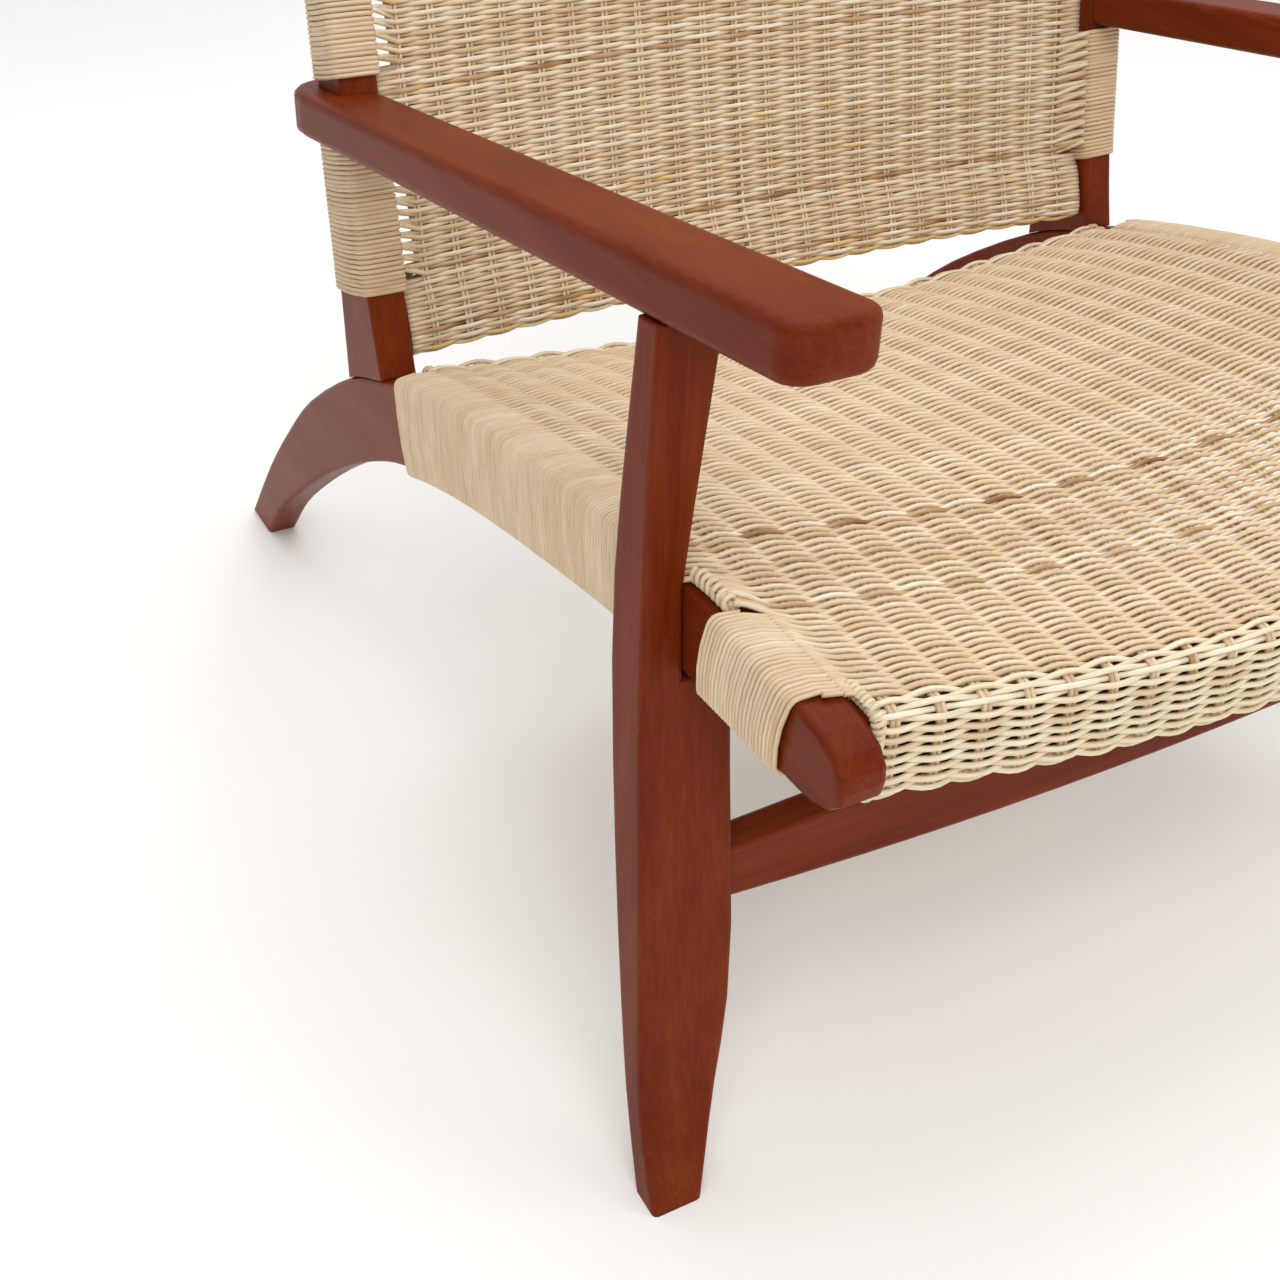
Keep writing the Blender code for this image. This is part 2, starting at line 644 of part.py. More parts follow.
def build():
    """Make every piece of the chair."""
    clear_scene()
    side_rails()
    front_legs()
    back_posts()
    arms()
    stretcher()
    seat_rails()
    back_rails()
    joint_dowels()
    rail_wrap("rail_wrap_rear", RAIL_WRAP_REAR[0], RAIL_WRAP_REAR[1], 15)
    rail_wrap("rail_wrap_front", RAIL_WRAP_FRONT[0], RAIL_WRAP_FRONT[1], 5)
    post_wrap("post_wrap_lower", POST_WRAP_LOWER[0], POST_WRAP_LOWER[1], 6)
    post_wrap("post_wrap_upper", POST_WRAP_UPPER[0], POST_WRAP_UPPER[1], 9)
    seat_weave()
    seat_hoods()
    back_weave()
    corner_ties()


build()
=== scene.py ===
"""Low lounge armchair: a stained hardwood frame with seat and back woven in rattan core.

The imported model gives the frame, and its wooden nodes stay and get a stained finish.
Every woven part is made here as real strands: round rattan core carried along paths that
are worked out as whole numpy arrays, in metres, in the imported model's own coordinates.
Left is -X, the chair faces -Y and +Z is up.
"""
import logging
import math
from dataclasses import dataclass, field
from enum import Enum
from typing import Callable, Sequence

import bpy
import numpy as np
from mathutils import Matrix


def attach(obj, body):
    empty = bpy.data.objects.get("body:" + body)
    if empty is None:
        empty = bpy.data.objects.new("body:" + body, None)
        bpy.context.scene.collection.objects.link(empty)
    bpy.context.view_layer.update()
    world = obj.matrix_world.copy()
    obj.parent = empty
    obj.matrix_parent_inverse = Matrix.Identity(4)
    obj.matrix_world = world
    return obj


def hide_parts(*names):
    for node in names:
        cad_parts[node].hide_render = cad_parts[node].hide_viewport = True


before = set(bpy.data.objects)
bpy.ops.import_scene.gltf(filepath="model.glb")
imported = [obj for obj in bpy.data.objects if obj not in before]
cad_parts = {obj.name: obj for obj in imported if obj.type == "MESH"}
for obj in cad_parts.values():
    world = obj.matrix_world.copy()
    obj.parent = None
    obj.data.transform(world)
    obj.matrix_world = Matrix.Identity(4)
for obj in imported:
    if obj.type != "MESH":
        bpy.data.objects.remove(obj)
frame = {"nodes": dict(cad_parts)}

log = logging.getLogger("armchair")
Array = np.ndarray

# Curves of the frame that the strands follow: (station, height or depth), in metres.
RAIL_TOP = [(-.4060, .3805), (-.3286, .3805), (-.2416, .3760), (-.1036, .3530), (-.0136, .3320),
            (.0474, .3140), (.0854, .3000), (.1524, .2710), (.2454, .2080)]
RAIL_BOTTOM = [(-.4190, .3380), (-.3286, .3340), (-.2416, .3260), (-.1036, .2985), (-.0136, .2755),
               (.0554, .2520), (.1054, .2290), (.1654, .1940), (.2274, .1520)]
POST_FRONT = [(.290, .0824), (.320, .0918), (.353, .1014), (.475, .1262), (.738, .1795)]
POST_REAR = [(.262, .1522), (.339, .1564), (.427, .1659), (.519, .1744), (.738, .2074)]
RAIL_IN_X, RAIL_OUT_X = .283, .308
FRONT_RAIL_Y, REAR_RAIL_Y = (-.4225, -.4045), (.0600, .0760)
AIR = .0003         # left between the wood and a strand wound on it
STRAND = .0030      # thickness of a strand with the air round it
BACK_SET = .0180    # how far the back's middle lies behind the posts' front edge


class Side(Enum):
    """The chair's two sides, by the sign of X."""
    LEFT = -1
    RIGHT = 1

    @property
    def label(self) -> str:
        """Lower-case word used in piece names."""
        return self.name.lower()


class Grain(Enum):
    """Axis that the wood's fibres run along in a piece."""
    ALONG_X = 0
    ALONG_Y = 1
    ALONG_Z = 2


# ---- number helpers ----------------------------------------------------------------
def smooth_line(points: list[tuple[float, float]], steps: int = 8) -> Array:
    """Catmull-Rom curve through points: on each span the cubic that has the chord of its
    two neighbours as its slope at either end.

    Args:
        points: control points.
        steps: samples on each span.
    Returns:
        Points of the curve, one row each.
    """
    p = np.asarray(points, float)
    ends = np.vstack([2 * p[0] - p[1], p, 2 * p[-1] - p[-2]])
    a, b, c, d = (ends[i:len(ends) - 3 + i, None, :] for i in range(4))
    t = np.linspace(0, 1, steps, endpoint=False)[None, :, None]
    spans = .5 * (2 * b + (c - a) * t + (2 * a - 5 * b + 4 * c - d) * t ** 2
                  + (3 * b - a - 3 * c + d) * t ** 3)
    return np.vstack([spans.reshape(-1, p.shape[1]), p[-1:]])


def along(points: list[tuple[float, float]], value: Array) -> Array:
    """Second coordinate of the smooth curve where its first has the given values."""
    line = smooth_line(points)
    return np.interp(value, line[:, 0], line[:, 1])


def ease(t: Array) -> Array:
    """Smooth step 3t^2 - 2t^3, held at 0 and 1 outside the span."""
    t = np.clip(t, 0, 1)
    return t * t * (3 - 2 * t)


def colour(code: str) -> tuple[float, float, float, float]:
    """Linear colour of an sRGB hex code: c/12.92 when dark, ((c+.055)/1.055)^2.4 otherwise.

    Args:
        code: the hex code, with its hash.
    Returns:
        Linear red, green, blue and an alpha of 1.
    """
    parts = [int(code[i:i + 2], 16) / 255 for i in (1, 3, 5)]
    linear = [c / 12.92 if c <= .04045 else ((c + .055) / 1.055) ** 2.4 for c in parts]
    return (*linear, 1.0)


def unit(vectors: Array) -> Array:
    """Vectors of the last axis, each over its own length."""
    return vectors / np.maximum(np.linalg.norm(vectors, axis=-1, keepdims=True), 1e-9)


def lengths_along(path: Array) -> Array:
    """Length from a path's start to each of its points, summed over its chords."""
    return np.concatenate([[0], np.cumsum(np.linalg.norm(np.diff(path, axis=0), axis=1))])


def rows_at(values: Array, index: Array) -> Array:
    """Rows of an array at fractional places: (1 - f) a + f b between two neighbours.

    Args:
        values: rows along the first axis.
        index: the places.
    Returns:
        One row for each place.
    """
    low = np.clip(np.floor(index).astype(int), 0, len(values) - 2)
    f = (index - low).reshape(-1, *[1] * (values.ndim - 1))
    return values[low] * (1 - f) + values[low + 1] * f


# ---- chair surfaces ----------------------------------------------------------------
def seat_drop(x: Array, y: Array) -> Array:
    """Sag of the seat below its edges: (1 - (x / half)^2)^1.25 across, so it leaves the rails
    almost level, 35 mm deep at the front rail and 18 mm at the rear one."""
    t = (y - FRONT_RAIL_Y[0]) / (REAR_RAIL_Y[1] - FRONT_RAIL_Y[0])
    return (.035 - .017 * t) * np.maximum(0, 1 - (x / RAIL_IN_X) ** 2) ** 1.25


def seat_height(x: Array, y: Array) -> Array:
    """Top of the woven seat: the rail's top edge plus one strand, less the sag."""
    return along(RAIL_TOP, np.maximum(y, RAIL_TOP[0][0])) + STRAND - seat_drop(x, y)


def back_depth(x: Array, z: Array) -> Array:
    """Middle of the woven back: 18 mm behind the posts' front edge, hollow by 14 mm."""
    return along(POST_FRONT, z) + BACK_SET + .014 * (1 - (x / RAIL_IN_X) ** 2)


# ---- materials ---------------------------------------------------------------------
def add_node(tree: bpy.types.NodeTree, kind: str, inputs: dict | None = None,
             **settings: object) -> bpy.types.Node:
    """Add a shader node, set its properties and fill or link its inputs.

    Args:
        tree: the material's node tree.
        kind: node type.
        inputs: socket name or index to a value, or to another node's output socket.
        settings: properties of the node itself.
    Returns:
        The new node.
    """
    node = tree.nodes.new(kind)
    for key, value in settings.items():
        setattr(node, key, value)
    for key, value in (inputs or {}).items():
        if isinstance(value, bpy.types.NodeSocket):
            tree.links.new(value, node.inputs[key])
        else:
            node.inputs[key].default_value = value
    return node


def set_ramp(node: bpy.types.Node, stops: Sequence[tuple[float, str]]) -> bpy.types.NodeSocket:
    """Fill a colour ramp.

    Args:
        node: the ramp's node.
        stops: (position, sRGB hex code) of each stop.
    Returns:
        The ramp's colour output.
    """
    elements = node.color_ramp.elements
    while len(elements) < len(stops):
        elements.new(.5)
    for element, (position, code) in zip(elements, stops):
        element.position, element.color = position, colour(code)
    return node.outputs["Color"]


def new_material(name: str, finish: dict[str, float]
                 ) -> tuple[bpy.types.Material, bpy.types.NodeTree, bpy.types.Node]:
    """Start a node material.

    Args:
        name: the material's name.
        finish: constants of its shader, by socket name.
    Returns:
        The material, its node tree and its shader.
    """
    material = bpy.data.materials.new(name)
    material.use_nodes = True
    tree = material.node_tree
    tree.nodes.clear()
    shader = add_node(tree, "ShaderNodeBsdfPrincipled", finish)
    add_node(tree, "ShaderNodeOutputMaterial", {"Surface": shader.outputs["BSDF"]})
    return material, tree, shader


@dataclass(frozen=True)
class StainedHardwood:
    """Sungkai or beech, planed, stained red-brown and sprayed with satin lacquer.

    The stain sinks deeper into the open early wood, so the grain shows as fine darker
    streaks, and the lacquer gives soft wide highlights with a slight orange peel.
    """
    name: str
    grain: Grain
    light: str = "#763210"
    middle: str = "#6C270A"
    dark: str = "#5F1F06"
    pore: str = "#451404"

    def scales(self, across: float, lengthways: float) -> tuple[float, float, float]:
        """Turn sizes into repeats.

        Args:
            across, lengthways: size of the pattern across and along the grain, in mm.
        Returns:
            Repeats per metre on each axis.
        """
        sizes = [across] * 3
        sizes[self.grain.value] = lengthways
        return tuple(1000 / s for s in sizes)

    def build(self) -> bpy.types.Material:
        """Make the material: streaks 2.6 mm wide and 110 mm long over clouds of stain 24 by
        160 mm, pores .9 mm wide and 16 mm long, and a peel of 5.6 mm in the lacquer. The
        pores are drawn some three times as wide as real ones, so that they show.

        Returns:
            The finished material.
        """
        material, tree, shader = new_material(self.name, {
            "IOR": 1.5, "Specular IOR Level": .06, "Coat Weight": .05, "Coat Roughness": .18})
        place = add_node(tree, "ShaderNodeTexCoord").outputs["Object"]
        pattern = {}
        for name, repeats, settings in (
                ("streak", self.scales(2.6, 110),
                 {"Detail": 3.0, "Roughness": .55, "Distortion": .35}),
                ("cloud", self.scales(24, 160), {"Detail": 2.0, "Roughness": .5}),
                ("pore", self.scales(.9, 16), {"Detail": 1.0}),
                ("peel", (180, 180, 180), {"Detail": 1.0})):
            at = add_node(tree, "ShaderNodeMapping", {"Vector": place, "Scale": repeats})
            pattern[name] = add_node(tree, "ShaderNodeTexNoise", {
                "Vector": at.outputs[0], "Scale": 1.0, **settings}).outputs["Fac"]
        blend = add_node(tree, "ShaderNodeMath", {0: pattern["streak"], 1: .45},
                         operation="MULTIPLY")
        tone = add_node(tree, "ShaderNodeMath", {0: pattern["cloud"], 1: .55, 2: blend.outputs[0]},
                        operation="MULTIPLY_ADD")
        stain = set_ramp(add_node(tree, "ShaderNodeValToRGB", {"Fac": tone.outputs[0]}),
                         [(.34, self.dark), (.5, self.middle), (.66, self.light)])
        open_pore = add_node(tree, "ShaderNodeMapRange", {
            "Value": pattern["pore"], "From Min": .30, "From Max": .42, "To Min": .22,
            "To Max": 0.0})
        body = add_node(tree, "ShaderNodeMix", {0: open_pore.outputs[0], 6: stain,
                        7: colour(self.pore)}, data_type="RGBA")
        soften = add_node(tree, "ShaderNodeBevel", {"Radius": .0032}, samples=4)
        grain = add_node(tree, "ShaderNodeBump", {
            "Height": pattern["streak"], "Strength": .12, "Distance": .0004,
            "Normal": soften.outputs[0]})
        lacquer = add_node(tree, "ShaderNodeBump", {
            "Height": pattern["peel"], "Strength": .10, "Distance": .0006,
            "Normal": grain.outputs[0]})
        rough = add_node(tree, "ShaderNodeMapRange", {
            "Value": pattern["streak"], "To Min": .30, "To Max": .44})
        tree.links.new(body.outputs[2], shader.inputs["Base Color"])
        tree.links.new(lacquer.outputs[0], shader.inputs["Normal"])
        tree.links.new(rough.outputs[0], shader.inputs["Roughness"])
        return material


@dataclass(frozen=True)
class RattanCore:
    """Round rattan core, drawn through a die and left natural.

    Each strand has its own straw tone. Fine fibres run along it and split the light, the
    surface is dry and only faintly glossy, and a few strands are stained brown or yellow.
    """
    name: str
    stops: tuple[tuple[float, str], ...] = (
        (0.0, "#875F3A"), (.06, "#AA845A"), (.18, "#C2A47E"), (.45, "#D3BA98"),
        (.70, "#DECBAE"), (.90, "#E6D9C3"), (1.0, "#D9B87E"))
    fibre: str = "#9F7F5A"

    def build(self) -> bpy.types.Material:
        """Make the material, on the strand's own map (metres along it and round it): fibres
        .45 mm wide and 25 mm long, and blotches 9 mm wide and 40 mm long. Real fibres are
        some .2 mm wide, too fine to show.

        Returns:
            The finished material.
        """
        material, tree, shader = new_material(self.name, {
            "Roughness": .52, "IOR": 1.45, "Specular IOR Level": .4})
        tone = add_node(tree, "ShaderNodeAttribute", attribute_name="tone").outputs["Fac"]
        own = add_node(tree, "ShaderNodeUVMap", uv_map="strand").outputs[0]
        pattern = {}
        for name, repeats, settings in (
                ("fibre", (1000 / 25, 1000 / .45, 1), {"Detail": 2.0, "Roughness": .6}),
                ("blotch", (1000 / 40, 1000 / 9, 1), {"Detail": 2.0})):
            at = add_node(tree, "ShaderNodeMapping", {"Vector": own, "Scale": repeats})
            pattern[name] = add_node(tree, "ShaderNodeTexNoise", {
                "Vector": at.outputs[0], "Scale": 1.0, **settings}).outputs["Fac"]
        shift = add_node(tree, "ShaderNodeMapRange", {
            "Value": pattern["blotch"], "To Min": -.34, "To Max": .34})
        level = add_node(tree, "ShaderNodeMath", {0: tone, 1: shift.outputs[0]}, operation="ADD",
                         use_clamp=True)
        straw = set_ramp(add_node(tree, "ShaderNodeValToRGB", {"Fac": level.outputs[0]}),
                         self.stops)
        streak = add_node(tree, "ShaderNodeMapRange", {
            "Value": pattern["fibre"], "From Min": .5, "From Max": .72, "To Min": 0.0,
            "To Max": .55})
        body = add_node(tree, "ShaderNodeMix", {0: streak.outputs[0], 6: straw,
                        7: colour(self.fibre)}, data_type="RGBA")
        bump = add_node(tree, "ShaderNodeBump", {
            "Height": pattern["fibre"], "Strength": .35, "Distance": .0003})
        tree.links.new(body.outputs[2], shader.inputs["Base Color"])
        tree.links.new(bump.outputs[0], shader.inputs["Normal"])
        return material


@dataclass(frozen=True)
class StudioPaper:
    """Matt white paper sweep under the chair: no gloss, so only a soft shadow shows."""
    name: str = "white_paper_matt"
    shade: str = "#F6F5F3"

    def build(self) -> bpy.types.Material:
        """Make the material: a very faint 300 mm cloudiness over plain white.

        Returns:
            The finished material.
        """
        material, tree, shader = new_material(self.name, {
            "Roughness": .95, "Specular IOR Level": .1})
        place = add_node(tree, "ShaderNodeTexCoord").outputs["Object"]
        cloud = add_node(tree, "ShaderNodeTexNoise", {"Vector": place, "Scale": 3.3})
        tint = set_ramp(add_node(tree, "ShaderNodeValToRGB", {"Fac": cloud.outputs["Fac"]}),
                        [(0.0, "#F3F2F0"), (1.0, self.shade)])
        tree.links.new(tint, shader.inputs["Base Color"])
        return material


# ---- strands -----------------------------------------------------------------------
@dataclass
class StrandMesh:
    """Round strands gathered into one mesh.

    A strand is a path with a ring of points round each of its points:
    point = path + r (cos a * n + wide sin a * b), where n is the given upward direction made
    square to the path and b is square to both. Flat caps close the ends.
    """
    name: str
    material: bpy.types.Material
    sides: int = 6
    points: list[Array] = field(default_factory=list)
    loops: list[Array] = field(default_factory=list)
    totals: list[Array] = field(default_factory=list)
    maps: list[Array] = field(default_factory=list)
    tones: list[Array] = field(default_factory=list)
    count: int = 0

    def add(self, paths: Array, radius: float, tone: Array | float,
            up: Array | tuple[float, float, float], wide: float = 1.0) -> None:
        """Carry the round section along paths.

        Args:
            paths: (strands, points, 3) centre lines.
            radius: radius of every strand.
            tone: one tone, or one for each strand, or for each point of each strand.
            up: direction that the section's first point looks in; it may vary like paths.
            wide: width of the section over its thickness, where packing has pressed it flat.
        """
        s, n, _ = paths.shape
        k = self.sides
        t = unit(np.gradient(paths, axis=1))
        up = np.broadcast_to(np.asarray(up, float), paths.shape)
        normal = unit(up - (up * t).sum(2, keepdims=True) * t)
        side = np.cross(t, normal)
        a = np.arange(k) * 2 * math.pi / k
        ring = (np.cos(a)[:, None] * normal[:, :, None]
                + wide * np.sin(a)[:, None] * side[:, :, None])
        verts = paths[:, :, None] + radius * ring
        base = self.count + np.arange(s)[:, None, None] * n * k
        j = base + np.arange(n - 1)[None, :, None] * k
        i = np.arange(k)
        i2 = (i + 1) % k
        quads = np.stack([j + i, j + i2, j + k + i2, j + k + i], -1)
        step = np.linalg.norm(np.diff(paths, axis=1), axis=2)
        u = np.concatenate([np.zeros((s, 1)), np.cumsum(step, axis=1)], 1)
        u = (u + np.arange(s)[:, None] * .73 + len(self.points) * .31)[:, :, None]
        share = 2 * math.pi * radius / k
        v = i * share
        quad_map = np.stack([np.stack(np.broadcast_arrays(*corner), -1) for corner in (
            (u[:, :-1], v), (u[:, :-1], v + share), (u[:, 1:], v + share), (u[:, 1:], v))], -2)
        first = base[:, 0] + np.arange(k)[::-1]
        last = base[:, 0] + (n - 1) * k + np.arange(k)
        caps = np.concatenate([first, last], 0)
        self.points.append(verts.reshape(-1, 3))
        self.loops += [quads.reshape(-1), caps.reshape(-1)]
        self.totals += [np.full(s * (n - 1) * k, 4), np.full(2 * s, k)]
        self.maps += [quad_map.reshape(-1, 2), np.zeros((caps.size, 2))]
        tone = np.asarray(tone, float)
        tone = tone.reshape(-1, 1) if tone.ndim < 2 else tone
        self.tones.append(np.repeat(np.broadcast_to(tone, (s, n)).reshape(-1), k))
        self.count += s * n * k

    def build(self, *nodes: str) -> bpy.types.Object:
        """Put the gathered strands into a mesh that stands for the given CAD nodes.

        Args:
            nodes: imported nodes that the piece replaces.
        Returns:
            The finished piece, riding on the frame.
        """
        points, loops = np.concatenate(self.points), np.concatenate(self.loops)
        totals, maps = np.concatenate(self.totals), np.concatenate(self.maps)
        mesh = bpy.data.meshes.new(self.name)
        mesh.vertices.add(len(points))
        mesh.vertices.foreach_set("co", points.astype(np.float32).reshape(-1))
        mesh.loops.add(len(loops))
        mesh.loops.foreach_set("vertex_index", loops.astype(np.int32))
        mesh.polygons.add(len(totals))
        starts = np.concatenate([[0], np.cumsum(totals)[:-1]])
        mesh.polygons.foreach_set("loop_start", starts.astype(np.int32))
        mesh.polygons.foreach_set("loop_total", totals.astype(np.int32))
        mesh.polygons.foreach_set("use_smooth", totals == 4)
        layer = mesh.uv_layers.new(name="strand")
        mesh.update(calc_edges=True)
        layer.data.foreach_set("uv", maps.astype(np.float32).reshape(-1))
        attribute = mesh.attributes.new("tone", "FLOAT", "POINT")
        attribute.data.foreach_set("value", np.concatenate(self.tones).astype(np.float32))
        mesh.validate()
        mesh.materials.append(self.material)
        piece = bpy.data.objects.new(self.name, mesh)
        bpy.context.scene.collection.objects.link(piece)
        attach(piece, "root")
        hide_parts(*nodes)
        log.info("%s: %d triangles, stands for %s", self.name, int((totals - 2).sum()),
                 ", ".join(nodes))
        return piece


@dataclass(frozen=True)
class Outline:
    """Rounded rectangle that a strand is wound on, as shares of its width and depth.

    A point is (u0 + r + su (u1 - u0 - 2r) + r ca, v0 + r + sv (v1 - v0 - 2r) + r sa): four
    quarter circles, with the flats between them bulged outwards by a parabola.
    """
    corner: float = .0045
    bulge: float = .0006
    corner_points: int = 4
    flat_points: int = 2

    def shares(self) -> tuple[Array, ...]:
        """Go round the outline once, from the middle of the +v flat towards -u.

        Returns:
            Shares su, sv and directions ca, sa of each point.
        """
        q = np.linspace(0, math.pi / 2, self.corner_points)
        t = np.arange(1, self.flat_points + 1) / (self.flat_points + 1)
        c, s = np.cos(q), np.sin(q)
        swell = self.bulge / self.corner
        flat = 1 + 4 * t * (1 - t) * swell
        none, full, zero, one = (np.full_like(v, value) for v in (q, t) for value in (0, 1))
        parts = [(np.array([.5]), np.ones(1), np.zeros(1), np.array([1 + swell])),
                 (none, full, -s, c), (zero, 1 - t, -flat, zero),
                 (none, none, -c, -s), (t, zero, zero, -flat),
                 (full, none, s, -c), (one, t, flat, zero), (full, full, c, s)]
        return tuple(np.concatenate(column) for column in zip(*parts))

    def wind(self, stations: Array, place: Callable[[Array], tuple[Array, ...]]
             ) -> tuple[Array, int]:
        """One continuous winding: the station moves on evenly while the strand goes round.

        Args:
            stations: station of each turn as it crosses the middle of the +v flat.
            place: gives u0, u1, v0, v1 for an array of stations.
        Returns:
            (points, 3) rows of u, v and station, and the number of points in a turn.
        """
        su, sv, ca, sa = self.shares()
        m = len(su)
        turn = np.arange((len(stations) - 1) * m + 1) / m
        at = np.interp(turn, np.arange(len(stations)), stations)
        i = np.arange(len(turn)) % m
        u0, u1, v0, v1 = place(at)
        r = self.corner
        u = u0 + r + su[i] * (u1 - u0 - 2 * r) + r * ca[i]
        v = v0 + r + sv[i] * (v1 - v0 - 2 * r) + r * sa[i]
        return np.stack([u, v, at], 1), m


@dataclass
class TurnPlan:
    """Stations and tones of the turns of one winding.

    Station k = start + k * pitch, moved a little at random, with a gap opened after every
    second to fourth turn and the rest closed up to suit.
    """
    start: float
    end: float
    pitch: float
    gap: float
    seed: int
    variety: float = .06
    uneven: float = .045

    def stations(self) -> Array:
        """Work out where each turn lies.

        Returns:
            Station of each turn, from start to end.
        """
        rng = np.random.default_rng(self.seed)
        n = int(round(abs(self.end - self.start) / self.pitch))
        steps = 1 + rng.normal(0, self.uneven, n)
        steps[rng.integers(2, 5, n).cumsum() % n] += self.gap
        at = np.concatenate([[0], np.cumsum(steps)])
        return self.start + (self.end - self.start) * at / at[-1]

    def tones(self) -> Array:
        """Draw the tones: runs of about seven turns share a strand.

        Returns:
            Tone of each turn.
        """
        rng = np.random.default_rng(self.seed + 100)
        n = len(self.stations())
        run = np.cumsum(rng.random(n) < .15)
        return np.clip(rng.normal(.56, self.variety, n + 1)[run]
                       + rng.normal(0, .04, n), .12, .93)


def strand_tones(rng: np.random.Generator, n: int) -> Array:
    """Tones of separate strands: mostly even straw, about one in forty brown and one in
    sixty yellow.

    Args:
        rng: source of the random numbers.
        n: number of strands.
    Returns:
        Tone of each strand.
    """
    tones = np.clip(rng.normal(.54, .17, n), .15, .90)
    pick = rng.random(n)
    tones[pick < .025] = .06
    tones[pick > .984] = 1.0
    return tones


# ---- windings on rails and posts -------------------------------------------------------
@dataclass
class Winding:
    """Strand wound round a bar of the frame, from one station along it to another."""
    name: str
    plan: TurnPlan
    material: bpy.types.Material
    radius: float = .00141
    wide: float = 1.0
    # Tone taken off every turn of a winding: painted shade. None on the rails.
    painted_shade: float = 0.0

    @property
    def out(self) -> float:
        """How far the strand's middle stands off the wood."""
        return AIR + self.radius

    def lay(self, side: Side, path: tuple[Array, ...], middle: tuple[Array, Array],
            turn: int) -> bpy.types.Object:
        """Make the mesh of a wound strand.

        Args:
            side: the chair's side that it is on.
            path: x, y and z of the strand, on the +X side.
            middle: y and z of the bar's middle beside each point.
            turn: number of points in a turn.
        Returns:
            The finished winding.
        """
        x, y, z = path
        points = np.stack([side.value * x, y, z], 1)[None]
        inside = np.full_like(x, (RAIL_IN_X + RAIL_OUT_X) / 2)
        centre = np.stack([side.value * inside, *middle], 1)[None]
        # Tone of each turn, less the winding's painted shade.
        tone = np.repeat(self.plan.tones() - self.painted_shade, turn)[:len(x)][None]
        strands = StrandMesh("%s_%s" % (self.name, side.label), self.material)
        strands.add(points, self.radius, tone, points - centre, self.wide)
        return strands.build(strands.name)


@dataclass
class RailWinding(Winding):
    """Winding on a side rail.

    The turns are square to the rail. A turn may also lean forwards as it climbs the outer
    face, by lean * share^2 of its height, and drift on forwards as it crosses the top to the
    inner edge, by an amount that runs from drift[0] at the first turn to drift[1] at the last.
    """
    lean: float = 0.0
    drift: tuple[float, float] = (0.0, 0.0)
    square: float = .8

    def shift(self, x: Array, y: Array, z: Array) -> Array:
        """How far forward a turn lies of its plain place.

        Args:
            x, y, z: points of the plain winding.
        Returns:
            The distance at each point.
        """
        low, high = along(RAIL_BOTTOM, y), along(RAIL_TOP, y)
        up = np.clip((z - low) / (high - low), 0, 1) ** 2
        inward = np.clip((RAIL_OUT_X - x) / (RAIL_OUT_X - RAIL_IN_X), 0, 1)
        t = (y - self.plan.start) / (self.plan.end - self.plan.start)
        first, last = self.drift
        return up * (self.lean + inward ** 1.5 * (first + (last - first) * t))

    def top_y(self) -> Array:
        """Follow the turns to the rail's inner top edge.

        Returns:
            Y of each turn as it leaves the rail there.
        """
        s = self.plan.stations()
        top = along(RAIL_TOP, s)
        return (s - self.slope(s) * (top - along(RAIL_BOTTOM, s)) / 2 * self.square
                - self.shift(np.full_like(s, RAIL_IN_X), s, top))

    def slope(self, y: Array) -> Array:
        """Fall of the rail's top edge per unit run."""
        return (along(RAIL_TOP, y + .01) - along(RAIL_TOP, y - .01)) / .02

    def build(self, side: Side) -> bpy.types.Object:
        """Wind the rail on one side.

        Args:
            side: which of the two rails.
        Returns:
            The finished winding.
        """
        def place(y: Array) -> tuple[Array, ...]:
            """Inner and outer face, bottom and top of the outline at each station."""
            return (RAIL_IN_X - self.out + 0 * y, RAIL_OUT_X + self.out + 0 * y,
                    along(RAIL_BOTTOM, y) - self.out, along(RAIL_TOP, y) + self.out)
        path, turn = Outline(bulge=.0010).wind(self.plan.stations(), place)
        x, z, y = path.T
        mid = (along(RAIL_TOP, y) + along(RAIL_BOTTOM, y)) / 2
        y = y - self.slope(y) * (z - mid) * self.square - self.shift(x, y, z)
        return self.lay(side, (x, y, z), (y, mid), turn)


@dataclass
class PostWinding(Winding):
    """Winding on a back post. A turn drops to the rear by .38 d - 1.33 d^2, where d is how
    far behind the post's front edge it is."""
    radius: float = .00144
    wide: float = 1.12
    # Painted shade: post windings are drawn .15 darker in tone than the same straw on the back
    # sheet.
    painted_shade: float = .15

    def drop(self, depth: Array) -> Array:
        """How far a turn has dropped at a depth behind the post's front edge."""
        return .38 * depth - 1.33 * depth ** 2

    def build(self, side: Side) -> bpy.types.Object:
        """Wind the post on one side.

        Args:
            side: which of the two posts.
        Returns:
            The finished winding.
        """
        def place(z: Array) -> tuple[Array, ...]:
            """Inner and outer face, front and rear of the outline at each station."""
            depth = along(POST_REAR, z) - along(POST_FRONT, z)
            rear = along(POST_REAR, z - self.drop(depth)) + self.out
            return (RAIL_IN_X - self.out + 0 * z, RAIL_OUT_X + self.out + 0 * z,
                    along(POST_FRONT, z) - self.out, rear)
        path, turn = Outline(corner=.0046, bulge=.0009).wind(self.plan.stations(), place)
        x, y, z = path.T
        front = along(POST_FRONT, z)
        z = z - self.drop(y - front)
        return self.lay(side, (x, y, z), ((front + along(POST_REAR, z)) / 2, z), turn)


